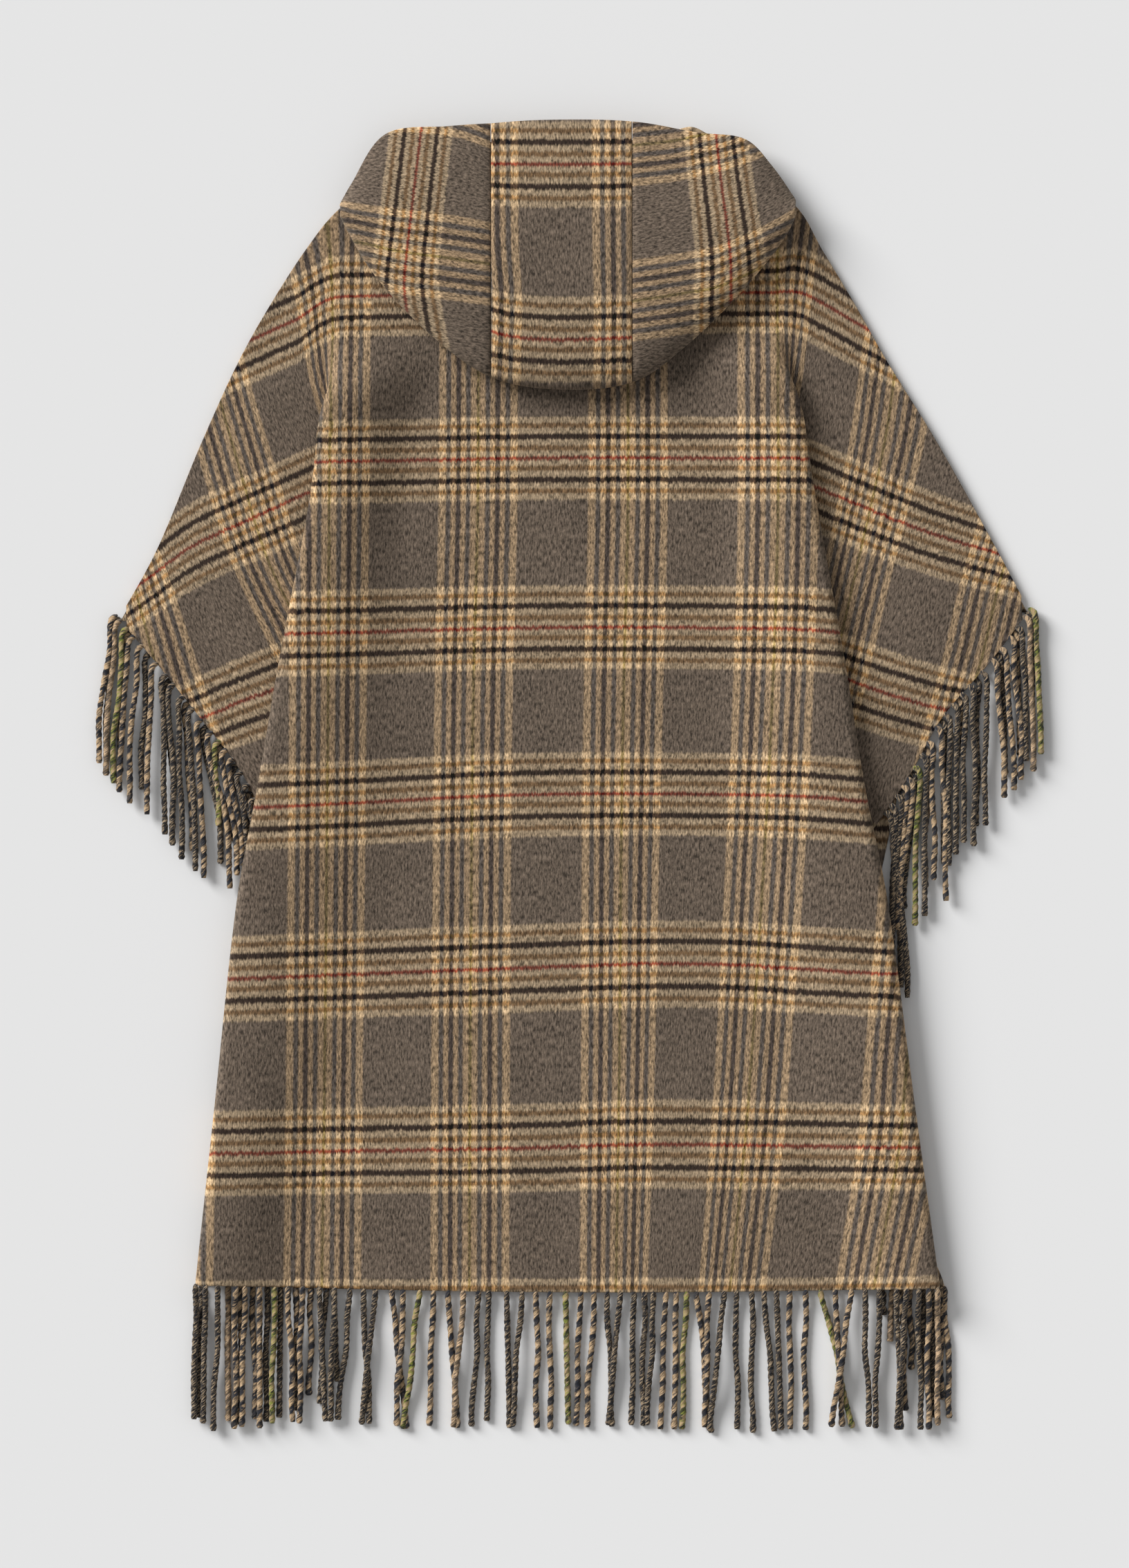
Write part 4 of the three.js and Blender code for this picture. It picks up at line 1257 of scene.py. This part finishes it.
@dataclass
class Hood:
    """The hood: a centre strip between two side panels, over its own hidden layers."""

    side_lines: int = 66
    strip_lines: int = 56
    rows: int = 70
    roll_rows: int = 22
    tuck_rows: int = 8
    seam_sink: float = 1.5
    seam_width: float = 3.2

    def fullness(self, x: Array) -> Array:
        """Share of the hood's height that stands at x, less toward its corners."""
        half = (HOOD_LOW[-1][0] - HOOD_LOW[0][0]) / 2
        middle = (HOOD_LOW[-1][0] + HOOD_LOW[0][0]) / 2
        out = np.abs(x - middle) / half
        return np.sqrt(np.maximum(0, 1 - HOOD_CORNER_DROP * out**4))

    def line(self, head: Array, foot: Array, shares: Array) -> Array:
        """One line from the face edge over the crown to the roll at the lower edge.

        Args:
            head: Place of the face edge.
            foot: Place of the lower edge.
            shares: Rows on the crown, from 0 to 1.

        Returns:
            The points in the middle of the cloth.
        """
        along = foot - head
        length = float(np.linalg.norm(along))
        full = float(self.fullness((head[0] + foot[0]) / 2))
        base = float(WING_HEIGHT(HOOD_CORNER_Y)) + HOOD_BASE_RISE

        def lift(z: float) -> float:
            """Height at this line of a height at the hood's middle."""
            return mix(base + (z - base) * HOOD_CORNER_LIFT, z, full)

        rise = np.sin(math.pi / 2 * shares) ** HOOD_ROUND
        crown = np.zeros((len(shares), 3))
        crown[:, :2] = head + along * (HOOD_CREST * shares)[:, None]
        crown[:, 2] = mix(lift(HOOD_FACE_Z), lift(HOOD_CREST_Z), rise)
        turn = math.pi / 2 * np.linspace(0, 1, self.roll_rows + 1)[1:]
        roll = np.zeros((self.roll_rows, 3))
        roll[:, :2] = head + along * mix(HOOD_CREST, 1, np.sin(turn))[:, None]
        roll[:, 2] = mix(lift(HOOD_EDGE_Z), lift(HOOD_CREST_Z), np.maximum(np.cos(turn), 0) ** HOOD_ROUND)
        turn = math.pi / 2 * np.linspace(0, 1, self.tuck_rows + 1)[1:]
        tuck = np.zeros((self.tuck_rows, 3))
        back = min(HOOD_TUCK, length * 0.3) * (1 - np.cos(turn))
        tuck[:, :2] = foot - (along / length) * back[:, None]
        tuck[:, 2] = mix(lift(HOOD_EDGE_Z), lift(HOOD_UNDER_Z), np.sin(turn))
        return np.vstack([crown, roll, tuck])

    def panel(
        self,
        name: str,
        node: str,
        ends: tuple[float | None, float | None],
        chart: Chart,
        material: bpy.types.Material,
    ) -> bpy.types.Object:
        """One piece of the hood between two seams.

        Args:
            name: The piece's name.
            node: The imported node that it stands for.
            ends: X of its left and right seam, or None at a corner of the hood.
            chart: Where the plaid runs on it.
            material: The wool.

        Returns:
            The object.
        """
        top, low = Curve(HOOD_TOP), Curve(HOOD_LOW)
        starts = [HOOD_END_SHARE if x is None else x for x in ends]
        first = (starts[0],) * 2 if ends[0] is None else (top.share_at_x(ends[0]), low.share_at_x(ends[0]))
        corner = 1 - HOOD_END_SHARE
        last = (corner,) * 2 if ends[1] is None else (top.share_at_x(ends[1]), low.share_at_x(ends[1]))
        count = self.strip_lines if None not in ends else self.side_lines
        shares = edged(self.rows, 170, True, False)
        steps = edged(count, 125)
        lines = []
        for t in steps:
            head = top.at(mix(first[0], last[0], t))
            foot = low.at(mix(first[1], last[1], t))
            lines.append(self.line(head, foot, shares))
        points = np.stack(lines)
        flat = chart.cloth(points[..., 0], points[..., 1])
        width = np.linalg.norm(points[0, ..., :2] - points[-1, ..., :2], axis=-1)
        for end, at_end in zip(ends, (steps, 1 - steps)):
            if end is not None:
                away = at_end[:, None] * width[None, :]
                points[..., 2] -= self.seam_sink * np.exp(-((away / self.seam_width) ** 2))
        hem = max(0, points.shape[1] - self.tuck_rows)
        flat[:, hem:, :] = flat[:, hem - 1 : hem, :]
        full = rounding(points.shape[0])[:, None] * rounding(points.shape[1], True, False)[None, :]
        piece = Cloth(name, points, flat, full).build(material)
        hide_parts(node)
        return piece

    def hidden_layers(self, material: bpy.types.Material) -> bpy.types.Object:
        """The layers folded inside the hood, one rounded form under the outer cloth.

        Args:
            material: The wool.

        Returns:
            The object.
        """
        top, low = Curve(HOOD_TOP), Curve(HOOD_LOW)
        across, down = 60, 36
        bm = bmesh.new()
        bmesh.ops.create_grid(bm, x_segments=across, y_segments=down, size=1.0)
        for vert in bm.verts:
            u, v = (vert.co.x + 1) / 2, (1 - vert.co.y) / 2
            share = float(mix(0.09, 0.91, u))
            head, foot = top.at(share), low.at(share)
            along = foot - head
            length = float(np.linalg.norm(along))
            down_share = float(mix(min(0.4, 16 / length), 1 - min(0.35, (HOOD_TUCK + CLOTH + 3) / length), v))
            shell = self.line(head, foot, np.linspace(0, 1, 24))
            z = float(np.interp(down_share, np.linspace(0, HOOD_CREST, 24), shell[:24, 2]))
            ends = math.sin(math.pi * mix(0.12, 0.88, v)) ** 0.35
            sides = math.sin(math.pi * mix(0.1, 0.9, u)) ** 0.35
            roof = float(mix(NAPE_FLOOR_Z + 1.6, z - CLOTH / 2 - NAPE_CLEARANCE, ends * sides))
            place = head + along * down_share
            vert.co = Vector((place[0], place[1], roof)) * MM
        raised = bmesh.ops.extrude_face_region(bm, geom=bm.faces[:])
        for item in raised["geom"]:
            if isinstance(item, bmesh.types.BMVert):
                item.co.z = NAPE_FLOOR_Z * MM
        bmesh.ops.recalc_face_normals(bm, faces=bm.faces[:])
        mesh = mesh_of(bm, "hood_layers")
        at = np.array([vert.co[:] for vert in mesh.vertices]) / MM
        flat = np.zeros_like(at)
        flat[:, :2] = HOOD_STRIP_CHART.cloth(at[:, 0], at[:, 1])
        store(mesh, "cloth_mm", flat)
        piece = finish_object("hood_layers", mesh, material)
        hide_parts("hood_nape")
        return piece

    def facing(self, material: bpy.types.Material) -> bpy.types.Object:
        """The inner layer's corner that shows past the face edge, near the right seam.

        Args:
            material: The wool.

        Returns:
            The object.
        """
        across, down = edged(30, 60), edged(14, 18, True, False)
        u, v = np.meshgrid(across, down, indexing="ij")
        x = mix(60.0, 120.0, u)
        top = mix(561.5, 553.0, u) + 6.5 * np.exp(-(((x - 104) / 13) ** 2))
        points = np.stack([x, mix(top, 545.0, v), np.full_like(x, 15.5)], -1)
        flat = np.stack([x * 0.3 + 4.0, (points[..., 1] - 545.0) * 0.6 + 26.0], -1)
        full = rounding(points.shape[0])[:, None] * rounding(points.shape[1], True, False)[None, :]
        return Cloth("hood_facing", points, flat, full).build(material)

    def build(self, material: bpy.types.Material) -> list[bpy.types.Object]:
        """Make the hood's three outer pieces and its hidden layers.

        Args:
            material: The wool.

        Returns:
            The pieces, the hidden layers last.
        """
        gap = HOOD_SEAM_GAP
        return [
            self.panel("hood_panel_left", "hood_side_left", (None, STRIP_LEFT_X - gap), HOOD_LEFT_CHART, material),
            self.panel("hood_centre_strip", "hood_strip", (STRIP_LEFT_X, STRIP_RIGHT_X), HOOD_STRIP_CHART, material),
            self.panel("hood_panel_right", "hood_side_right", (STRIP_RIGHT_X + gap, None), HOOD_RIGHT_CHART, material),
            self.hidden_layers(material),
        ]


@dataclass(frozen=True)
class Strand:
    """One twisted strand: where it starts and ends in pixels, and how far it climbs over another."""

    root: float
    tip: float
    tip_y: float
    climb: float = 0.0


HEM_PLIES = "cccmmmommcccccmmommtccccmmommcccccmmommcccccmmommcccccmt"
HEM_STRANDS = tuple(
    Strand(*row)
    for row in (
        (284, 281, 2052), (298, 294, 2058), (316, 309, 2069), (342, 339, 2066), (355, 350, 2063),
        (376, 376, 2065), (397, 394, 2058), (417, 424, 2056), (438, 433, 2058), (462, 471, 2055),
        (484, 478, 2055, 3.0), (506, 489, 2053), (526, 534, 2059), (543, 523, 2060, 5.0), (567, 588, 2066),
        (583, 574, 2062, 5.0), (607, 583, 2066, 5.0), (627, 621, 2062), (648, 662, 2065),
        (670, 656, 2064, 5.0), (692, 682, 2063), (707, 704, 2055), (733, 737, 2065), (755, 741, 2063, 5.0),
        (775, 777, 2065), (795, 796, 2067), (818, 822, 2060), (840, 833, 2062), (859, 849, 2064),
        (878, 885, 2063), (897, 880, 2061, 5.0), (917, 913, 2061), (932, 930, 2062), (945, 936, 2061, 3.0),
        (963, 955, 2067), (978, 975, 2067), (993, 986, 2067), (1007, 1029, 2072), (1025, 1019, 2064, 5.0),
        (1047, 1026, 2069, 9.0), (1065, 1066, 2067), (1087, 1089, 2072), (1105, 1120, 2070),
        (1123, 1130, 2068), (1142, 1143, 2067), (1165, 1165, 2068), (1187, 1233, 2065),
        (1208, 1218, 2063, 5.0), (1231, 1202, 2063, 9.0), (1251, 1256, 2063), (1271, 1266, 2065),
        (1296, 1303, 2067), (1310, 1297, 2067, 4.0), (1328, 1331, 2067), (1342, 1343, 2067),
        (1355, 1356, 2061),
    )
)
HEM_UNDER_PLIES = "ctmmccmmcc"
HEM_UNDER_LEFT = tuple(
    Strand(*row)
    for row in (
        (291, 288, 2050), (330, 330, 2055), (348, 345, 2060), (366, 369, 2052), (387, 385, 2056),
        (406, 404, 2050), (428, 428, 2040), (450, 447, 2018), (472, 462, 2030), (482, 488, 1998),
    )
)
HEM_UNDER_RIGHT = tuple(
    Strand(*row)
    for row in (
        (1276, 1279, 1902), (1290, 1287, 1940), (1303, 1310, 2040), (1316, 1318, 1981), (1335, 1336, 1999),
        (1348, 1350, 2050), (1361, 1362, 2024), (1366, 1373, 2051),
    )
)
WING_LEFT_PLIES = "mtommmccccmmommccc"
WING_LEFT_STRANDS = tuple(
    Strand(*row)
    for row in (
        (168, 144, 1104), (174, 154, 1122), (184, 165, 1133), (194, 173, 1146), (206, 188, 1162),
        (227, 213, 1178), (241, 239, 1207), (252, 250, 1223), (266, 263, 1243), (280, 283, 1260),
        (292, 295, 1270), (307, 333, 1285), (318, 316, 1195), (328, 343, 1266), (338, 350, 1252),
        (350, 358, 1240), (360, 367, 1225), (370, 378, 1218),
    )
)
WING_RIGHT_PLIES = "otcmmmcccccmmcommccc"
WING_RIGHT_STRANDS = tuple(
    Strand(*row)
    for row in (
        (1489, 1505, 1091), (1481, 1494, 1116), (1470, 1484, 1101), (1459, 1476, 1128), (1447, 1466, 1143),
        (1434, 1452, 1154), (1419, 1425, 1194), (1401, 1408, 1224), (1390, 1393, 1219), (1377, 1382, 1236),
        (1366, 1372, 1252), (1353, 1368, 1303), (1341, 1350, 1273), (1331, 1337, 1325), (1322, 1323, 1339),
        (1312, 1303, 1332), (1305, 1299, 1345), (1296, 1290, 1390), (1287, 1303, 1428), (1280, 1312, 1443),
    )
)


@dataclass
class Fringe:
    """A row of two-ply strands whose roots are bound along an edge of the cloth."""

    name: str
    node: str
    strands: Sequence[Strand]
    edge_y: Callable[[float], float]
    outward: Callable[[float], tuple[float, float]]
    root_z: Callable[[float], float]
    rest_z: Callable[[float], float]
    plies: str
    arch: float = 0.0
    radius: float = 2.8
    sides: int = 10
    rings: int = 58

    def template(self) -> bpy.types.Mesh:
        """Closed tube of unit size that every strand is moved from: angle round it and share along it.

        Returns:
            The mesh, with both kept in its vertices.
        """
        bm = bmesh.new()
        bmesh.ops.create_grid(bm, x_segments=self.sides, y_segments=self.rings, size=0.5)
        for vert in bm.verts:
            angle = 2 * math.pi * (vert.co.x + 0.5)
            vert.co = (math.cos(angle), math.sin(angle), vert.co.y + 0.5)
        bmesh.ops.remove_doubles(bm, verts=bm.verts[:], dist=1e-4)
        bmesh.ops.holes_fill(bm, edges=bm.edges[:], sides=self.sides)
        bmesh.ops.recalc_face_normals(bm, faces=bm.faces[:])
        return mesh_of(bm, f"{self.name}_tube")

    def path(self, strand: Strand, number: int) -> Curve:
        """Middle line of one strand.

        Args:
            strand: Its row in the table.
            number: Its place in the row, for its own small sway.

        Returns:
            The curve from root to tip, in millimetres.
        """
        root_x, _ = on_page(strand.root, 0)
        root_y = self.edge_y(root_x)
        tip_x, tip_y = on_page(strand.tip, strand.tip_y)
        out_x, out_y = self.outward(root_x)
        rest, start = self.rest_z(root_x), self.root_z(root_x)
        sway = 1.8 * math.sin(number * 2.4 + 0.5)
        knee = 3.0 + self.arch * 0.35
        points = [
            (root_x - out_x * 1.5, root_y - out_y * 1.5, start - 0.6),
            (root_x + out_x * knee, root_y + out_y * knee, max(start, rest) + 0.4),
        ]
        for share in (0.22, 0.45, 0.68, 0.86, 1.0):
            bend = float(smooth(share * 1.25)) if self.arch else share
            x = mix(root_x + out_x * self.arch, tip_x, bend)
            y = mix(root_y + out_y * self.arch * 0.4, tip_y, share)
            wave = sway * math.sin(math.pi * share * 2.3 + number) * math.sin(math.pi * share)
            climb = strand.climb * math.exp(-(((share - 0.55) / 0.3) ** 2))
            points.append((x + wave, y, rest + climb))
        return Curve(points)

    def frames(self, curve: Curve) -> tuple[Array, Array, Array]:
        """Places along a strand with the two directions square to it.

        Args:
            curve: Its middle line.

        Returns:
            Middles, directions aside and directions up.
        """
        middle = curve.at(np.linspace(0, 1, self.rings + 1))
        run = np.gradient(middle, axis=0)
        run /= np.linalg.norm(run, axis=1, keepdims=True)
        aside = np.cross(run, np.array([0.0, 0.0, 1.0]))
        aside /= np.linalg.norm(aside, axis=1, keepdims=True)
        return middle, aside, np.cross(aside, run)

    def build(self, material: bpy.types.Material) -> bpy.types.Object:
        """Make the fringe.

        Args:
            material: The yarn.

        Returns:
            The object.
        """
        template = self.template()
        unit = np.array([vert.co[:] for vert in template.vertices])
        angle = np.arctan2(unit[:, 1], unit[:, 0])
        ring = np.rint(unit[:, 2] * self.rings).astype(int)
        bm = bmesh.new()
        places, yarn = [], []
        shades: list[list[Array]] = [[], [], []]
        for number, strand in enumerate(self.strands):
            bm.from_mesh(template)
            curve = self.path(strand, number)
            length = curve.lengths[-1]
            middle, aside, up = self.frames(curve)
            run = unit[:, 2] * length
            swing = 0.9 * math.sin(number * 3.7)
            turn = angle + 2 * math.pi * run / YARN_PITCH + swing
            lobes = 0.74 + 0.26 * np.abs(np.cos(turn))
            body = np.minimum(1.0, 0.35 + run / 4) * np.where(length - run < 0.2, 0.7, 1.0)
            body *= 1 + 0.12 * smooth((run - length + 7) / 5) + 0.05 * np.sin(run / 7 + number)
            size = self.radius * lobes * body
            side, height = (size * np.cos(angle))[:, None], (size * np.sin(angle))[:, None]
            places.append(middle[ring] + aside[ring] * side + up[ring] * height)
            yarn.append(np.column_stack([angle + swing, run, np.full(len(run), 17.0 * number)]))
            ply = PLY_OF_LETTER[self.plies[number % len(self.plies)]]
            for shade, colour in zip(shades, ply.value):
                shade.append(np.tile(linear(colour), (len(run), 1)))
        mesh = mesh_of(bm, self.name)
        bpy.data.meshes.remove(template)
        co = np.vstack(places)
        co[:, 2] = np.maximum(co[:, 2], 0.15)
        mesh.vertices.foreach_set("co", (co * MM).ravel())
        store(mesh, "yarn_mm", np.vstack(yarn))
        for name, colours in zip(PLY_LAYERS, shades):
            store(mesh, name, np.vstack(colours), "FLOAT_COLOR", "color")
        mesh.update()
        piece = finish_object(self.name, mesh, material)
        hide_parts(self.node)
        return piece


def wing_edge_y(side: Side) -> Callable[[float], float]:
    """Y of a wing's fringed edge against x."""
    track = Track([p[0] for p in side.wing_edge], [p[1] for p in side.wing_edge])
    return lambda x: float(track(x))


def wing_outward(side: Side) -> Callable[[float], tuple[float, float]]:
    """Way out of a wing's fringed edge at x.

    Args:
        side: Which wing.

    Returns:
        A function that gives the unit direction.
    """
    edge = wing_edge_y(side)

    def outward(x: float) -> tuple[float, float]:
        """Unit direction out of the edge."""
        slope = (edge(x + 4) - edge(x - 4)) / 8
        out = np.array([side.sign * abs(slope), -1.0])
        out /= np.linalg.norm(out)
        return float(out[0]), float(out[1])

    return outward


def between(strands: Sequence[Strand], drop: float, shift: float) -> tuple[Strand, ...]:
    """Strands of a lower layer, seen in the gaps of the upper one.

    Args:
        strands: The upper layer.
        drop: Pixels by which the lower ones are shorter.
        shift: Pixels by which they hang further in.

    Returns:
        The lower layer.
    """
    pairs = list(zip(strands[:-1], strands[1:]))[::2]
    return tuple(
        Strand((a.root + b.root) / 2, (a.tip + b.tip) / 2 + shift, (a.tip_y + b.tip_y) / 2 - drop * (1 + 0.5 * (n % 3)))
        for n, (a, b) in enumerate(pairs)
    )


def under_hem(x: float) -> float:
    """Height of the back's hem strands, which lie on the fronts' strands at both ends of the hem."""
    over = max(1 - float(smooth((x + 204) / 25)), float(smooth((x - 258 + 31) / 25)))
    return 3.1 + 4.6 * over


def fringes() -> list[Fringe]:
    """All seven fringes.

    Returns:
        The fringes, ready to build.
    """
    low_z, high_z = 3.0, 7.4
    down = (0.0, -1.0)

    def hem_height(x: float) -> float:
        """Height of the middle of the back at its hem."""
        return float(back_z(np.array([x]), np.array([float(hem_y(x))]))[0])

    found = [
        Fringe(
            "twisted_hem_fringe",
            "fringe_hem_back",
            HEM_STRANDS,
            lambda x: float(hem_y(x)),
            lambda x: down,
            hem_height,
            under_hem,
            HEM_PLIES,
        )
    ]
    for name, strands in (("left", HEM_UNDER_LEFT), ("right", HEM_UNDER_RIGHT)):
        found.append(
            Fringe(
                f"twisted_front_hem_fringe_{name}",
                f"fringe_hem_front_{name}",
                strands,
                lambda x: float(hem_y(x)),
                lambda x: down,
                lambda x: 1.5,
                lambda x: low_z,
                HEM_UNDER_PLIES,
            )
        )
    wings = (
        ("left", LEFT, WING_LEFT_STRANDS, WING_LEFT_PLIES),
        ("right", RIGHT, WING_RIGHT_STRANDS, WING_RIGHT_PLIES),
    )
    for name, side, strands, plies in wings:
        found.append(
            Fringe(
                f"twisted_wing_fringe_{name}",
                f"fringe_wing_back_{name}",
                strands,
                wing_edge_y(side),
                wing_outward(side),
                lambda x: EDGE_Z,
                lambda x: high_z,
                plies,
                arch=5.0,
            )
        )
        found.append(
            Fringe(
                f"twisted_front_wing_fringe_{name}",
                f"fringe_wing_front_{name}",
                between(strands, 14, -side.sign * 5),
                wing_edge_y(side),
                wing_outward(side),
                lambda x: 1.5,
                lambda x: low_z,
                "cmccm",
                arch=4.0,
            )
        )
    return found


@dataclass(frozen=True)
class Studio:
    """Pale floor, soft light from the upper left, and a camera straight above the cape."""

    camera_height: float = 9.0
    sensor: float = 36.0
    floor_size: float = 12.0
    sky: float = 0.40
    key: float = 3.95
    key_spread: float = 32.0
    key_elevation: float = 28.0
    key_bearing: float = 143.0

    def build(self) -> None:
        """Make the floor, the lights and the camera."""
        bm = bmesh.new()
        bmesh.ops.create_grid(bm, x_segments=2, y_segments=2, size=self.floor_size / 2)
        mesh = mesh_of(bm, "studio_floor")
        mesh.materials.append(StudioPaper().make())
        floor = bpy.data.objects.new("studio_floor", mesh)
        bpy.context.scene.collection.objects.link(floor)
        world = bpy.data.worlds.new("studio_sky")
        world.use_nodes = True
        background = world.node_tree.nodes["Background"]
        background.inputs["Color"].default_value = (1.0, 1.0, 1.0, 1.0)
        background.inputs["Strength"].default_value = self.sky
        bpy.context.scene.world = world
        light = bpy.data.lights.new("key_light", "SUN")
        light.energy = self.key
        light.angle = math.radians(self.key_spread)
        lamp = bpy.data.objects.new("key_light", light)
        elevation, bearing = math.radians(self.key_elevation), math.radians(self.key_bearing)
        way = Vector(
            (
                math.cos(elevation) * math.cos(bearing),
                math.cos(elevation) * math.sin(bearing),
                math.sin(elevation),
            )
        )
        lamp.rotation_euler = way.to_track_quat("Z", "Y").to_euler()
        bpy.context.scene.collection.objects.link(lamp)
        camera = bpy.data.cameras.new("photo_camera")
        camera.sensor_width = self.sensor
        frame_height = PHOTO_SIZE[1] * PHOTO_SCALE * MM
        camera.lens = self.sensor * self.camera_height / frame_height
        camera.clip_end = 50.0
        holder = bpy.data.objects.new("photo_camera", camera)
        centre = on_page(PHOTO_SIZE[0] / 2, PHOTO_SIZE[1] / 2)
        holder.location = (centre[0] * MM, centre[1] * MM, self.camera_height)
        bpy.context.scene.collection.objects.link(holder)
        bpy.context.scene.camera = holder
        bpy.context.scene.view_settings.view_transform = "Standard"


def main() -> None:
    """Build the cape and its studio."""
    logging.basicConfig(level=logging.INFO, format="%(name)s: %(message)s")
    Studio().build()
    wool = BrushedPlaid().make()
    yarn = TwistedYarn().make()
    back = Back().build(wool)
    LOG.info("back: %d faces", len(back.data.polygons))
    fronts = [
        Front(LEFT, "cloth_front_left", "front_left", -198.0, -96.0).build(wool),
        Front(RIGHT, "cloth_front_right", "front_right", 258.0, 84.0, peek=9.0).build(wool),
    ]
    LOG.info("fronts: %d faces", sum(len(front.data.polygons) for front in fronts))
    hood = Hood().build(wool)
    facing = Hood().facing(wool)
    LOG.info("facing: %d faces", len(facing.data.polygons))
    LOG.info("hood: %d faces", sum(len(panel.data.polygons) for panel in hood))
    for fringe in fringes():
        fringe.build(yarn)
        LOG.info("%s: %d strands", fringe.name, len(fringe.strands))


if __name__ == "__main__":
    main()
